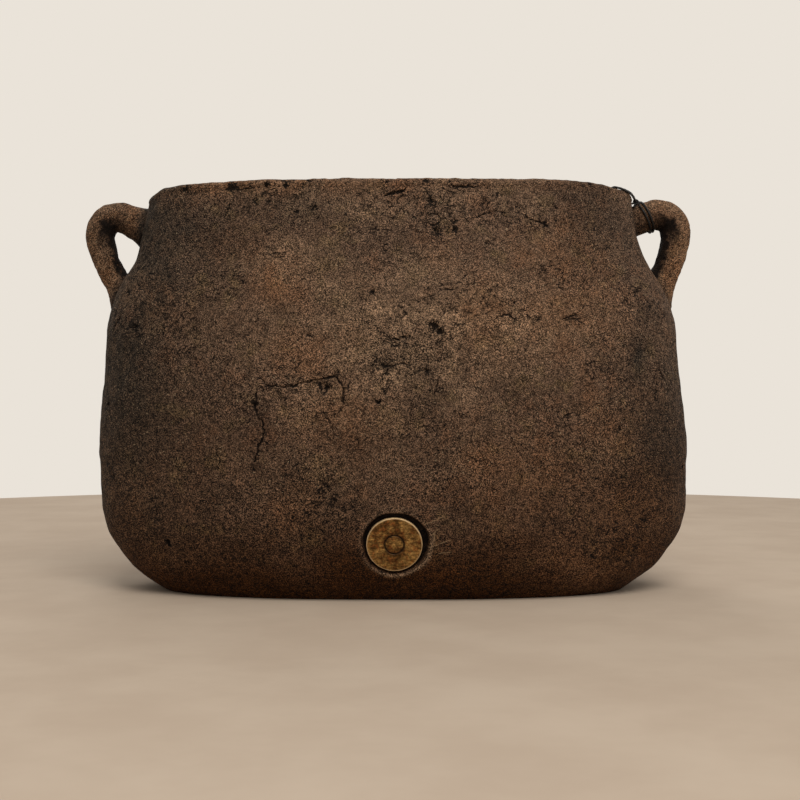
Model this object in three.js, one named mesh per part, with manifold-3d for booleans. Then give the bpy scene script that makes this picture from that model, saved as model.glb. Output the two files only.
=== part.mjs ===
// Oval hand-built clay planter: a pot with a narrow neck and a wide belly, two
// rolled clay handles, a brass medallion bedded in a recess low on the front, and
// a waxed cord hitched round the right handle, which carries a blank card tag
// inside the pot.
// Millimetres, +Z up. +X runs along the length to the handle with the cord, -Y is
// the front with the medallion. The origin is the middle of the flat underside.

import * as THREE from 'three';
import { mergeVertices } from 'three/addons/utils/BufferGeometryUtils.js';
import Module from 'manifold-3d';

const wasm = await Module();
wasm.setup();

// Outside of the pot, from the foot up to the rim. The rise is measured from the
// station below, left and right are reaches from the middle along the length, and
// depth is half of the front-to-back size. The pot was built by hand, so its two
// ends aren't quite alike.
const potHeight = 275;
const foot = { rise: 0, left: 160.5, right: 160.5, depth: 67 };
const heel = { rise: 12, left: 177.5, right: 177.5, depth: 79 };
const haunch = { rise: 20, left: 194.5, right: 194.8, depth: 88.3 };
const belly = { rise: 56, left: 204.6, right: 205.1, depth: 95 };
const flank = { rise: 66, left: 202.1, right: 199.7, depth: 92.4 };
const shoulder = { rise: 40, left: 197.8, right: 194.5, depth: 88 };
const turn = { rise: 18, left: 190.4, right: 186.7, depth: 83.6 };
const throat = { rise: 16, left: 181, right: 177, depth: 79.2 };
const neck = { rise: 15, left: 177.4, right: 171.3, depth: 76 };
const rim = { left: 171.2, right: 167.4, depth: 71 };

const wall = 9;
const floorThickness = 12;
const floorFillet = 14;
const lipRadius = 4.4;
const planRoundness = 2.4;

// Handles: knots of the middle line of each rolled arm, as the drop below the rim
// and the distance out from the wall at that height.
const leftArmKnots = [
  [22.5, -6],
  [18.5, 8.3],
  [14.2, 21.4],
  [17, 29.6],
  [27.2, 31.9],
  [43.6, 24.6],
  [54.8, 14.1],
  [75, -6],
];
const rightArmKnots = [
  [20.5, -6],
  [17, 4],
  [13.8, 13.2],
  [13, 18.9],
  [16.4, 27.7],
  [27.2, 29.5],
  [43.6, 21],
  [55.5, 10.3],
  [72, -5],
];
const armRadius = 10.3;
const armFootRadius = 8.9;

// Medallion, its glue bed and the recess in the front of the pot. The medallion
// slid a little down and aside in its recess before the glue took.
const medallionHeight = 38.7;
const medallionAside = 1.4;
const medallionRadius = 18;
const medallionThickness = 2.2;
const medallionEdge = 0.4;
const medallionInset = 1.6;
const medallionDrop = 0.8;
const medallionShift = -0.4;
const grooveRadius = 6.2;
const grooveWidth = 1.6;
const grooveDepth = 0.4;
const recessMargin = 2.4;
const glueThickness = 0.4;
const glueMargin = 2;

// Cord. The hitch winds round the upper arm of the right handle, and its numbers
// are places of the arm's middle along X, and degrees round it from its top
// towards the front.
const cordRadius = 0.75;
const hitchStartAngle = 56;
const hitchEndAngle = 655;
const hitchStart = 175.4;
const hitchSlant = 1;
const hitchPitch = 2.6;
const hitchLeadIn = [172.3, -7.4, 267.9];
const hitchCrossing = [
  { x: 179.6, angle: -45, lift: 0.6 },
  { x: 178.9, angle: -30, lift: 1.6 },
  { x: 177.9, angle: -15, lift: 2.2 },
  { x: 176.9, angle: -2, lift: 2.2 },
];
const hitchEnd = [171.4, -3.1, 271.2];
const knotCentre = [170.6, -6, 269.8];
const knotRadius = 2.4;
const knotLobe = 0.14;
const tailLength = 3.4;
const tailDirection = [-0.45, -0.6, -0.66];

// The tag's cord leaves the knot, crosses the lip, hangs inside the pot, turns
// through the tag's hole and comes back beside itself.
const tagCordRoute = [
  [169.9, -8.9, 269.6],
  [169.3, -11, 269.8],
  [167.5, -15.6, 271],
  [164.6, -21.8, 272.8],
  [160.4, -27.3, 274.2],
  [155.7, -31.4, 275.4],
  [150.9, -31.8, 276.4],
  [147, -28.4, 274.1],
  [146.6, -27.7, 269],
  [147, -28.2, 255],
  [147, -28.4, 240],
  [146.7, -28.8, 225],
  [146.4, -29.2, 212],
  [146.35, -29.3, 207.1],
  [147, -28.5, 204.8],
  [148.4, -26.9, 204],
  [149.8, -25.3, 204.8],
  [150.45, -24.5, 207.1],
  [150.4, -24.6, 212],
  [149.9, -25, 225],
  [149.3, -25.4, 240],
  [148.9, -25.6, 255],
  [148.6, -25.5, 269],
  [149.2, -26.4, 273.8],
  [151.5, -27.8, 276.1],
  [154.4, -27.3, 276.7],
  [157.8, -24.4, 276.4],
  [161.3, -20, 276],
  [164.9, -15.5, 275.1],
  [167.6, -11.3, 273.4],
  [169.2, -8.7, 271.7],
];

// Tag: a plain card that hangs from the loop's lowest point, turned so that the
// loop passes straight through it.
const loopBottom = tagCordRoute.reduce((low, point) => (point[2] < low[2] ? point : low));
const tagTurn = -40.5;
const tagWidth = 28;
const tagHeight = 52;
const tagThickness = 0.8;
const tagCorner = 3;
const tagHoleRadius = 3;
const tagHoleInset = 7;

// Every seat, and every cord on what it touches, keeps this clearance.
const seatGap = 0.3;

// Fineness of the meshes.
const ringSegments = 56;
const stepsBetweenStations = 3;
const lipSteps = 4;
const armSteps = 30;
const armSides = 16;
const roundSegments = 48;
const hitchSides = 6;
const hitchStepsPerTurn = 24;
const cordSides = 8;
const cordSteps = 78;

// Materials.
function finish(color, roughness, metalness = 0) {
  return new THREE.MeshStandardMaterial({ color, roughness, metalness });
}
const clay = finish(0x554232, 0.92);
const brass = finish(0x8a6a3c, 0.42, 0.9);
const glue = finish(0xb9ad94, 0.6);
const waxedCord = finish(0x14110f, 0.7);
const card = finish(0xc3a77e, 0.9);

// Solids and meshes.
function solidFrom(geometry) {
  const bare = geometry.clone();
  bare.deleteAttribute('normal');
  bare.deleteAttribute('uv');
  const merged = mergeVertices(bare, 1e-4);
  const vertProperties = Float32Array.from(merged.attributes.position.array);
  const triVerts = Uint32Array.from(merged.index.array);
  return new wasm.Manifold(new wasm.Mesh({ numProp: 3, vertProperties, triVerts }));
}

function geometryFrom(solid) {
  const mesh = solid.getMesh();
  const geometry = new THREE.BufferGeometry();
  geometry.setAttribute('position', new THREE.BufferAttribute(mesh.vertProperties, 3));
  geometry.setIndex(new THREE.BufferAttribute(mesh.triVerts, 1));
  geometry.computeVertexNormals();
  return geometry;
}

function piece(name, geometry, material) {
  const mesh = new THREE.Mesh(geometry, material);
  mesh.name = name;
  return mesh;
}

// A closed skin over rings of equally many points, each end closed by a fan.
function loft(rings) {
  const count = rings[0].length;
  const positions = [];
  for (const ring of rings) {
    for (const point of ring) positions.push(point.x, point.y, point.z);
  }
  for (const ring of [rings[0], rings[rings.length - 1]]) {
    const middle = new THREE.Vector3();
    for (const point of ring) middle.addScaledVector(point, 1 / count);
    positions.push(middle.x, middle.y, middle.z);
  }
  const startPole = rings.length * count;
  const endPole = startPole + 1;
  const index = [];
  for (let i = 0; i < count; i++) {
    const next = (i + 1) % count;
    index.push(startPole, next, i);
    for (let row = 0; row < rings.length - 1; row++) {
      const here = row * count;
      const above = here + count;
      index.push(here + i, here + next, above + next);
      index.push(here + i, above + next, above + i);
    }
    const last = (rings.length - 1) * count;
    index.push(endPole, last + i, last + next);
  }
  const geometry = new THREE.BufferGeometry();
  geometry.setAttribute('position', new THREE.Float32BufferAttribute(positions, 3));
  geometry.setIndex(index);
  geometry.computeVertexNormals();
  return geometry;
}

// The outside at any height: a smooth cubic through the stations.
const belowRim = [foot, heel, haunch, belly, flank, shoulder, turn, throat, neck];
const stations = belowRim.map((station, i) => {
  const height = belowRim.slice(0, i + 1).reduce((sum, below) => sum + below.rise, 0);
  return { ...station, height };
});
stations.push({ ...rim, height: potHeight });

function secant(low, key) {
  const a = stations[low];
  const b = stations[low + 1];
  return (b[key] - a[key]) / (b.height - a.height);
}

function stationSlope(i, key) {
  const last = stations.length - 1;
  if (i === 0) return 1.5 * secant(0, key) - 0.5 * stationSlope(1, key);
  if (i === last) return 1.5 * secant(last - 1, key) - 0.5 * stationSlope(last - 1, key);
  const below = stations[i].height - stations[i - 1].height;
  const above = stations[i + 1].height - stations[i].height;
  return (above * secant(i - 1, key) + below * secant(i, key)) / (below + above);
}

function outside(height, key) {
  const top = stations.length - 2;
  let low = 0;
  while (low < top && height > stations[low + 1].height) low++;
  const a = stations[low];
  const b = stations[low + 1];
  const span = b.height - a.height;
  const t = (height - a.height) / span;
  const s = 1 - t;
  const ends = (1 + 2 * t) * s * s * a[key] + t * t * (3 - 2 * t) * b[key];
  const slopes = t * s * s * stationSlope(low, key) - t * t * s * stationSlope(low + 1, key);
  return ends + span * slopes;
}

function outsideSlope(height, key) {
  const step = 0.5;
  return (outside(height + step, key) - outside(height - step, key)) / (2 * step);
}

function sectionAt(height, level = height) {
  const section = { z: level };
  for (const key of ['left', 'right', 'depth']) section[key] = outside(height, key);
  return section;
}

function inset(section, amount) {
  const { z, left, right, depth } = section;
  return { z, left: left - amount, right: right - amount, depth: depth - amount };
}

// The inside keeps the wall's thickness square to a leaning wall, and rounds into
// the floor.
function insideAt(height) {
  const section = sectionAt(height);
  const rise = Math.min(1, (height - floorThickness) / floorFillet);
  const fillet = floorFillet * (1 - Math.sqrt(1 - (1 - rise) ** 2));
  for (const key of ['left', 'right', 'depth']) {
    section[key] -= wall * Math.hypot(1, outsideSlope(height, key)) + fillet;
  }
  return section;
}

// One rounded oval ring of the pot.
function ovalRing({ z, left, right, depth }) {
  const ring = [];
  for (let i = 0; i < ringSegments; i++) {
    const angle = (i / ringSegments) * 2 * Math.PI;
    const along = Math.sign(Math.cos(angle)) * Math.abs(Math.cos(angle)) ** (2 / planRoundness);
    const across = Math.sign(Math.sin(angle)) * Math.abs(Math.sin(angle)) ** (2 / planRoundness);
    ring.push(new THREE.Vector3(along * (along < 0 ? left : right), across * depth, z));
  }
  return ring;
}

function spread(low, high, steps) {
  return Array.from({ length: steps + 1 }, (_, i) => low + ((high - low) * i) / steps);
}

// Heights for rings up the wall between two levels, denser where the shape turns.
function ringHeights(low, high) {
  const marks = stations.map((station) => station.height).filter((h) => h > low && h < high);
  const stops = [low, ...marks, high];
  const heights = [low];
  for (let i = 0; i < stops.length - 1; i++) {
    heights.push(...spread(stops[i], stops[i + 1], stepsBetweenStations).slice(1));
  }
  return heights;
}

const lip = Math.min(lipRadius, 0.49 * wall);
const lipStart = potHeight - lip;

function outerSections() {
  const wallSections = ringHeights(0, lipStart).map((h) => sectionAt(h));
  const edge = sectionAt(lipStart);
  const lipSections = spread(0, Math.PI / 2, lipSteps).slice(1).map((turned) => ({
    ...inset(edge, lip * (1 - Math.cos(turned))),
    z: lipStart + lip * Math.sin(turned),
  }));
  return [...wallSections, ...lipSections];
}

function innerSections() {
  const edge = insideAt(lipStart);
  const lipSections = spread(Math.PI / 2, 0, lipSteps).slice(0, -1).map((turned) => ({
    ...inset(edge, -lip * (1 - Math.cos(turned))),
    z: lipStart + lip * Math.sin(turned),
  }));
  const wallSections = ringHeights(floorThickness, lipStart).map(insideAt).reverse();
  return [...lipSections, ...wallSections];
}

// The recess and all that it holds share one axis, square to the leaning front.
const recessRadius = medallionRadius + recessMargin;
const leanRise = outside(medallionHeight + medallionRadius, 'depth')
  - outside(medallionHeight - medallionRadius, 'depth');
const medallionLean = Math.atan2(leanRise, 2 * medallionRadius);
const recessDepth = medallionInset + medallionThickness + glueThickness + 2 * seatGap;

function onRecessAxis(object, outward, aside = 0, down = 0) {
  object.rotation.x = Math.PI / 2 + medallionLean;
  const out = outside(medallionHeight, 'depth');
  object.position.set(medallionAside, -out, medallionHeight);
  const step = new THREE.Vector3(aside, -down, outward).applyQuaternion(object.quaternion);
  object.position.add(step);
  object.updateMatrix();
  return object;
}

// A lathe's own axis is Y, and here it is turned to stand along Z.
function turned(outline) {
  const points = outline.map(([radius, level]) => new THREE.Vector2(radius, level));
  return new THREE.LatheGeometry(points, roundSegments).rotateX(Math.PI / 2);
}

function buildPot() {
  const sections = [...outerSections(), ...innerSections()];
  const shell = solidFrom(loft(sections.map(ovalRing)));
  const cutter = turned([
    [0, -recessDepth],
    [recessRadius, -recessDepth],
    [recessRadius, recessDepth],
    [0, recessDepth],
  ]);
  cutter.applyMatrix4(onRecessAxis(new THREE.Object3D(), 0).matrix);
  return geometryFrom(shell.subtract(solidFrom(cutter)));
}

function buildMedallion() {
  const face = medallionThickness;
  const flat = medallionRadius - medallionEdge;
  return turned([
    [0, 0],
    [flat, 0],
    [medallionRadius, medallionEdge],
    [medallionRadius, face - medallionEdge],
    [flat, face],
    [grooveRadius + grooveWidth / 2, face],
    [grooveRadius, face - grooveDepth],
    [grooveRadius - grooveWidth / 2, face],
    [0, face],
  ]);
}

function buildGlue() {
  const radius = medallionRadius - glueMargin;
  return turned([
    [0, 0],
    [radius, 0],
    [radius, glueThickness],
    [0, glueThickness],
  ]);
}

// The arm of a handle: a round roll of clay that thins towards its lower root,
// cut to sit on the wall. side is -1 for the left handle and 1 for the right.
function armCurve(knots, side) {
  const key = side < 0 ? 'left' : 'right';
  const points = knots.map(([drop, out]) => {
    const height = potHeight - drop;
    return new THREE.Vector3(side * (outside(height, key) + out), 0, height);
  });
  return new THREE.CatmullRomCurve3(points, false, 'centripetal');
}

function armRadiusAt(t) {
  return armRadius + (armFootRadius - armRadius) * THREE.MathUtils.smoothstep(t, 0.45, 0.95);
}

// Square axes across the arm at t: across lies in the arm's own plane, on the
// outer side of the bend, and front is towards the front of the pot.
function armFrame(curve, t, side) {
  const middle = curve.getPointAt(t);
  const along = curve.getTangentAt(t);
  const front = new THREE.Vector3(0, -1, 0);
  const across = new THREE.Vector3().crossVectors(along, front).multiplyScalar(-side);
  return { middle, across, front };
}

function buildHandle(knots, side, wallSolid) {
  const curve = armCurve(knots, side);
  const rings = spread(0, 1, armSteps).map((t) => {
    const { middle, across, front } = armFrame(curve, t, side);
    const radius = armRadiusAt(t);
    const ring = [];
    for (let i = 0; i < armSides; i++) {
      const angle = (i / armSides) * 2 * Math.PI * side;
      const point = middle.clone();
      point.addScaledVector(across, radius * Math.cos(angle));
      point.addScaledVector(front, radius * Math.sin(angle));
      ring.push(point);
    }
    return ring;
  });
  return geometryFrom(solidFrom(loft(rings)).subtract(wallSolid));
}

// The pot's outside, grown by the gap that a root keeps to it.
function grownWall() {
  const sections = outerSections().map((section) => inset(section, -seatGap));
  return solidFrom(loft(sections.map(ovalRing)));
}

// Cords.
function cordSection(sides) {
  const section = new THREE.Shape();
  for (let i = 0; i < sides; i++) {
    const angle = ((i + 0.5) / sides) * 2 * Math.PI;
    const [x, y] = [cordRadius * Math.cos(angle), cordRadius * Math.sin(angle)];
    if (i === 0) section.moveTo(x, y);
    else section.lineTo(x, y);
  }
  section.closePath();
  return section;
}

function cordTube(path, steps, sides) {
  const options = { steps, extrudePath: path, bevelEnabled: false, curveSegments: 1 };
  return new THREE.ExtrudeGeometry(cordSection(sides), options);
}

function smooth(points) {
  const knots = points.map((point) => new THREE.Vector3(...point));
  return new THREE.CatmullRomCurve3(knots, false, 'centripetal');
}

// Where the cord lies on the right arm: x along the length, angle round the arm
// from its top towards the front, and lift off the clay.
function onArm(curve, x, angle, lift) {
  let [low, high] = [0, 0.3];
  for (let i = 0; i < 30; i++) {
    const middle = (low + high) / 2;
    if (curve.getPointAt(middle).x < x) low = middle;
    else high = middle;
  }
  const { middle, across, front } = armFrame(curve, low, 1);
  const distance = armRadiusAt(low) + seatGap + cordRadius + lift;
  const round = THREE.MathUtils.degToRad(angle);
  middle.addScaledVector(across, distance * Math.cos(round));
  middle.addScaledVector(front, distance * Math.sin(round));
  return middle.toArray();
}

// The hitch starts at the knot, makes its turns and crosses over the first of
// them on its way back to the knot.
function hitchPath() {
  const arm = armCurve(rightArmKnots, 1);
  const turns = (hitchEndAngle - hitchStartAngle) / 360;
  const steps = Math.round(turns * hitchStepsPerTurn);
  const winding = spread(hitchStartAngle, hitchEndAngle, steps).map((angle) => {
    const lean = (hitchSlant * (1 - Math.cos(THREE.MathUtils.degToRad(angle)))) / 2;
    return onArm(arm, hitchStart + lean + (hitchPitch * angle) / 360, angle, 0);
  });
  const crossing = hitchCrossing.map(({ x, angle, lift }) => onArm(arm, x, angle, lift));
  return smooth([hitchLeadIn, ...winding, ...crossing, hitchEnd]);
}

// The least space between stretches of a tube that aren't neighbours on it.
function leastGap(path) {
  const count = 400;
  const points = path.getSpacedPoints(count);
  const apart = Math.ceil((8 * cordRadius * count) / path.getLength());
  let least = Infinity;
  for (let i = 0; i <= count; i++) {
    for (let j = i + apart; j <= count; j++) {
      least = Math.min(least, points[i].distanceTo(points[j]));
    }
  }
  return least - 2 * cordRadius;
}

// The knot: a lump drawn tight in three lobes, with one short tail.
function buildKnot() {
  const lump = new THREE.SphereGeometry(knotRadius, 18, 12);
  const position = lump.attributes.position;
  const point = new THREE.Vector3();
  for (let i = 0; i < position.count; i++) {
    point.fromBufferAttribute(position, i);
    const around = Math.atan2(point.z, point.x);
    const height = point.y / knotRadius;
    const waist = 1 - height * height;
    point.multiplyScalar(1 - knotLobe * waist * (0.5 + 0.5 * Math.cos(3 * around + 4 * height)));
    position.setXYZ(i, point.x, point.y, point.z);
  }
  const direction = new THREE.Vector3(...tailDirection).normalize();
  const tailPath = new THREE.LineCurve3(
    direction.clone().multiplyScalar(0.3 * knotRadius),
    direction.clone().multiplyScalar(0.8 * knotRadius + tailLength),
  );
  const tail = solidFrom(cordTube(tailPath, 2, cordSides));
  return geometryFrom(solidFrom(lump).add(tail)).translate(...knotCentre);
}

// A card with round corners and a punched hole, its hole's upper edge just above
// the cord that passes through at the origin.
function buildTag() {
  const holeLevel = cordRadius + 2 * seatGap - tagHoleRadius;
  const top = holeLevel + tagHoleInset;
  const bottom = top - tagHeight;
  const half = tagWidth / 2;
  const outline = new THREE.Shape();
  outline.moveTo(-half + tagCorner, bottom);
  outline.lineTo(half - tagCorner, bottom);
  outline.absarc(half - tagCorner, bottom + tagCorner, tagCorner, -Math.PI / 2, 0);
  outline.absarc(half - tagCorner, top - tagCorner, tagCorner, 0, Math.PI / 2);
  outline.absarc(-half + tagCorner, top - tagCorner, tagCorner, Math.PI / 2, Math.PI);
  outline.absarc(-half + tagCorner, bottom + tagCorner, tagCorner, Math.PI, 1.5 * Math.PI);
  const hole = new THREE.Path();
  hole.absarc(0, holeLevel, tagHoleRadius, 0, 2 * Math.PI, true);
  outline.holes.push(hole);
  const options = { depth: tagThickness, bevelEnabled: false, curveSegments: 8 };
  const sheet = new THREE.ExtrudeGeometry(outline, options);
  return sheet.translate(0, 0, -tagThickness / 2).rotateX(Math.PI / 2);
}

const clayGroup = new THREE.Group();
clayGroup.add(piece('pot_body', buildPot(), clay));
const wallSolid = grownWall();
clayGroup.add(piece('handle_left', buildHandle(leftArmKnots, -1, wallSolid), clay));
clayGroup.add(piece('handle_right', buildHandle(rightArmKnots, 1, wallSolid), clay));

const glueOutward = seatGap - recessDepth;
const medallionOutward = glueOutward + glueThickness + seatGap;
const medallion = piece('medallion', buildMedallion(), brass);
const adhesive = piece('medallion_adhesive', buildGlue(), glue);
const medallionGroup = new THREE.Group();
medallionGroup.add(onRecessAxis(medallion, medallionOutward, medallionShift, medallionDrop));
medallionGroup.add(onRecessAxis(adhesive, glueOutward, medallionShift, medallionDrop));

const hitch = hitchPath();
const hitchSteps = Math.round(hitch.getLength() / (2 * cordRadius));
const tagCord = smooth(tagCordRoute);
const cordGroup = new THREE.Group();
cordGroup.add(piece('cord_hitch', cordTube(hitch, hitchSteps, hitchSides), waxedCord));
cordGroup.add(piece('cord_knot', buildKnot(), waxedCord));
cordGroup.add(piece('tag_cord', cordTube(tagCord, cordSteps, cordSides), waxedCord));
const tag = piece('hang_tag', buildTag(), card);
tag.position.set(...loopBottom);
tag.rotation.z = THREE.MathUtils.degToRad(tagTurn);
cordGroup.add(tag);

for (const [name, path] of [['cord_hitch', hitch], ['tag_cord', tagCord]]) {
  const length = path.getLength().toFixed(1);
  console.log(`${name}: length ${length} mm, least gap to itself ${leastGap(path).toFixed(2)} mm`);
}

const planter = new THREE.Group();
planter.add(clayGroup, medallionGroup, cordGroup);

export default planter;
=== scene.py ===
"""Oval hand-built clay planter: dark, coarse, mottled clay with cracks, pits and a
worn lip, two rolled handles, a brass medallion in a recess, and a waxed cord
hitched round the right handle, which carries a blank card tag inside the pot.
Mesh code works in millimetres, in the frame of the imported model; objects are in
metres."""

import itertools
import math

import bmesh
import bpy
import numpy as np
from mathutils import Matrix, Vector


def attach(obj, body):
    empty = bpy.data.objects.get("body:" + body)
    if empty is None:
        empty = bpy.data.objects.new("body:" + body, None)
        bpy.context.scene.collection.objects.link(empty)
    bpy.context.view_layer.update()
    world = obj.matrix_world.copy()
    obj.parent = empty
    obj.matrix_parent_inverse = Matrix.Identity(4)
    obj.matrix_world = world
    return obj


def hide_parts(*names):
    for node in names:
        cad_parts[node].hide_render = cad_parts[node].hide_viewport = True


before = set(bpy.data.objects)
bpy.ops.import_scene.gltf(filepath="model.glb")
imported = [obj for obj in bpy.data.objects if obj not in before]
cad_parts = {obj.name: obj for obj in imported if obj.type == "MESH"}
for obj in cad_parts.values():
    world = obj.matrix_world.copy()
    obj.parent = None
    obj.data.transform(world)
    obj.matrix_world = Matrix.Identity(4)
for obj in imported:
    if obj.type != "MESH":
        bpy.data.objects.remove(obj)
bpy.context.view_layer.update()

MM = 0.001

# ---- camera
CAMERA_X, CAMERA_BACK, CAMERA_HEIGHT = 4.6, 920.0, 131.0
camera_data = bpy.data.cameras.new("camera")
camera_data.sensor_width = 36.0
camera_data.lens = 58.5
camera = bpy.data.objects.new("camera", camera_data)
camera.location = (CAMERA_X * MM, -CAMERA_BACK * MM, CAMERA_HEIGHT * MM)
camera.rotation_euler = (math.radians(90), 0, 0)
bpy.context.scene.collection.objects.link(camera)
bpy.context.scene.camera = camera


# ---- numbers
def smoothstep(low, high, value):
    """Rises from 0 where the value is low to 1 where it is high."""
    t = np.clip((value - low) / (high - low), 0, 1)
    return t * t * (3 - 2 * t)


def bell(*terms):
    """1 where each value is at its middle, falling off round it by its width."""
    return np.exp(-sum(((value - middle) / width) ** 2 for value, middle, width in terms))


def running(steps):
    """The sums of the steps so far, from 0."""
    return np.concatenate([[0], np.cumsum(steps)])


def circle(count):
    """Angles at even distances round a turn."""
    return np.arange(count) / count * 2 * math.pi


def corner_value(ix, iy, iz, seed):
    """A repeatable number from -1 to 1 for each corner of a lattice."""
    mask = np.uint64(0xFFFFFFFF)
    h = np.uint64(0)
    for index, prime in ((ix, 73856093), (iy, 19349663), (iz, 83492791)):
        h = h ^ (index.astype(np.uint64) * np.uint64(prime))
    h = (h + np.uint64(seed * 2654435761 % 2**32)) & mask
    for shift, factor in ((15, 2246822519), (13, 3266489917), (16, 1)):
        h ^= h >> np.uint64(shift)
        h = (h * np.uint64(factor)) & mask
    return h.astype(np.float64) / 2147483647.5 - 1


def noise(points, size, seed):
    """Smooth noise from -1 to 1 over points, with lumps about size apart."""
    q = np.asarray(points, float) / size + 1000
    cell = np.floor(q)
    f = q - cell
    f = f * f * f * (f * (f * 6 - 15) + 10)
    i = cell.astype(np.int64)
    total, shares = 0, (1 - f, f)
    for dx, dy, dz in itertools.product((0, 1), repeat=3):
        weight = shares[dx][:, 0] * shares[dy][:, 1] * shares[dz][:, 2]
        total = total + weight * corner_value(i[:, 0] + dx, i[:, 1] + dy, i[:, 2] + dz, seed)
    return total


def rough(points, size, seed, octaves=3):
    """Noise with finer noise on it, about -1 to 1."""
    total, weight, reach = 0, 1.0, 0.0
    for k in range(octaves):
        total = total + weight * noise(points, size / 2**k, seed + 17 * k)
        reach += weight
        weight *= 0.5
    return total / reach * 1.5


def linear(red, green, blue):
    """A colour given as it looks on the screen, from 0 to 255."""
    out = []
    for value in (red, green, blue):
        c = value / 255
        out.append(c / 12.92 if c <= 0.04045 else ((c + 0.055) / 1.055) ** 2.4)
    return (*out, 1.0)


# ---- curves
def catmull(points, per_step):
    """Points along a centripetal curve through the given points."""
    p = np.array(points, float)
    p = np.vstack([2 * p[0] - p[1], p, 2 * p[-1] - p[-2]])
    t = np.arange(per_step)[:, None] / per_step
    out = []
    for i in range(1, len(p) - 2):
        a, b, c, d = p[i - 1 : i + 3]
        ab, bc, cd = (np.linalg.norm(v) ** 0.5 for v in (b - a, c - b, d - c))
        m1 = ((b - a) / ab - (c - a) / (ab + bc) + (c - b) / bc) * bc
        m2 = ((c - b) / bc - (d - b) / (bc + cd) + (d - c) / cd) * bc
        h1, h2 = 2 * t**3 - 3 * t**2 + 1, t**3 - 2 * t**2 + t
        h3, h4 = -2 * t**3 + 3 * t**2, t**3 - t**2
        out.append(h1 * b + h2 * m1 + h3 * c + h4 * m2)
    out.append(p[-2][None])
    return np.vstack(out)


def arc_lengths(line):
    return running(np.linalg.norm(np.diff(line, axis=0), axis=1))


def evenly(line, count):
    """count points at even distances along a line."""
    along = arc_lengths(line)
    at = np.linspace(0, along[-1], count)
    return np.stack([np.interp(at, along, line[:, k]) for k in range(3)], axis=1)


def tangents(line):
    t = np.gradient(line, axis=0)
    return t / np.linalg.norm(t, axis=1)[:, None]


def carried_frames(line):
    """Two axes square to the line at each point, carried along without twist."""
    along = tangents(line)
    side, sides = np.array((0.0, 0.0, 1.0)), []
    for t in along:
        side = side - t * side.dot(t)
        if np.linalg.norm(side) < 1e-6:
            side = np.cross(t, (1.0, 0.3, 0.2))
        side = side / np.linalg.norm(side)
        sides.append(side)
    return np.array(sides), np.cross(along, sides)


# ---- meshes
def linked(name, data):
    """A new object in the scene."""
    made = bpy.data.objects.new(name, data)
    bpy.context.scene.collection.objects.link(made)
    return made


def add_values(mesh, values):
    """Gives the vertices of a mesh named values."""
    for key, numbers in values.items():
        layer = mesh.attributes.new(key, "FLOAT", "POINT")
        layer.data.foreach_set("value", np.asarray(numbers, np.float32))


def smooth_object(name, mesh, values):
    """A smoothly shaded object of a mesh, with named vertex values."""
    add_values(mesh, values)
    mesh.polygons.foreach_set("use_smooth", [True] * len(mesh.polygons))
    mesh.update()
    return linked(name, mesh)


def mesh_object(name, points, faces, values):
    """An object in metres from points in millimetres."""
    mesh = bpy.data.meshes.new(name)
    mesh.from_pydata((points * MM).tolist(), [], faces)
    return smooth_object(name, mesh, values)


def band(a, b, sides):
    """Quads between two rings of vertices, which start at a and at b."""
    return [(a + k, a + (k + 1) % sides, b + (k + 1) % sides, b + k) for k in range(sides)]


def tube_faces(rings, sides):
    """Quads between the rings of a tube, and one face over each end."""
    faces = [f for r in range(rings - 1) for f in band(r * sides, (r + 1) * sides, sides)]
    last = (rings - 1) * sides
    return [*faces, tuple(reversed(range(sides))), tuple(range(last, last + sides))]


CORD_RADIUS, CORD_SIDES, CORD_STEP = 0.75, 18, 0.42
PLIES, PLY_PITCH, PLY_WAIST = 3, 4.6, 0.13


def plied_cord(name, line):
    """A twisted cord along a line: a lobed section that turns as it goes."""
    count = int(arc_lengths(line)[-1] / CORD_STEP) + 2
    line = evenly(line, count)
    side, other = carried_frames(line)
    angle = circle(CORD_SIDES)
    turn = 2 * math.pi * arc_lengths(line)[:, None] / PLY_PITCH / PLIES
    lobes = 0.5 - 0.5 * np.cos(PLIES * (angle - turn))
    radius = CORD_RADIUS * (1 - PLY_WAIST * (1 - lobes))
    points = (
        line[:, None]
        + (radius * np.cos(angle))[..., None] * side[:, None]
        + (radius * np.sin(angle))[..., None] * other[:, None]
    )
    return mesh_object(name, points.reshape(-1, 3), tube_faces(count, CORD_SIDES), {}), line


# ---- pot's shape
# Stations of the outside: height, reach to the left, to the right, half depth.
STATIONS = np.array((
    (0, 160.5, 160.5, 67), (12, 177.5, 177.5, 79), (32, 194.5, 194.8, 88.3),
    (88, 204.6, 205.1, 95), (154, 202.1, 199.7, 92.4), (194, 197.8, 194.5, 88),
    (212, 190.4, 186.7, 83.6), (228, 181, 177, 79.2), (243, 177.4, 171.3, 76),
    (275, 171.2, 167.4, 71),
))
HEIGHT = STATIONS[-1, 0]
WALL, FLOOR, FILLET, LIP, ROUNDNESS = 9.0, 12.0, 14.0, 4.4, 2.4
FRONT = np.array((0.0, -1.0, 0.0))


def station_slopes():
    """How fast the reaches change with height at each station."""
    step = np.diff(STATIONS[:, 0])[:, None]
    secant = np.diff(STATIONS[:, 1:], axis=0) / step
    inner = (step[1:] * secant[:-1] + step[:-1] * secant[1:]) / (step[1:] + step[:-1])
    ends = 1.5 * secant[[0, -1]] - 0.5 * inner[[0, -1]]
    return np.vstack([ends[:1], inner, ends[1:]])


SLOPES = station_slopes()


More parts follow.
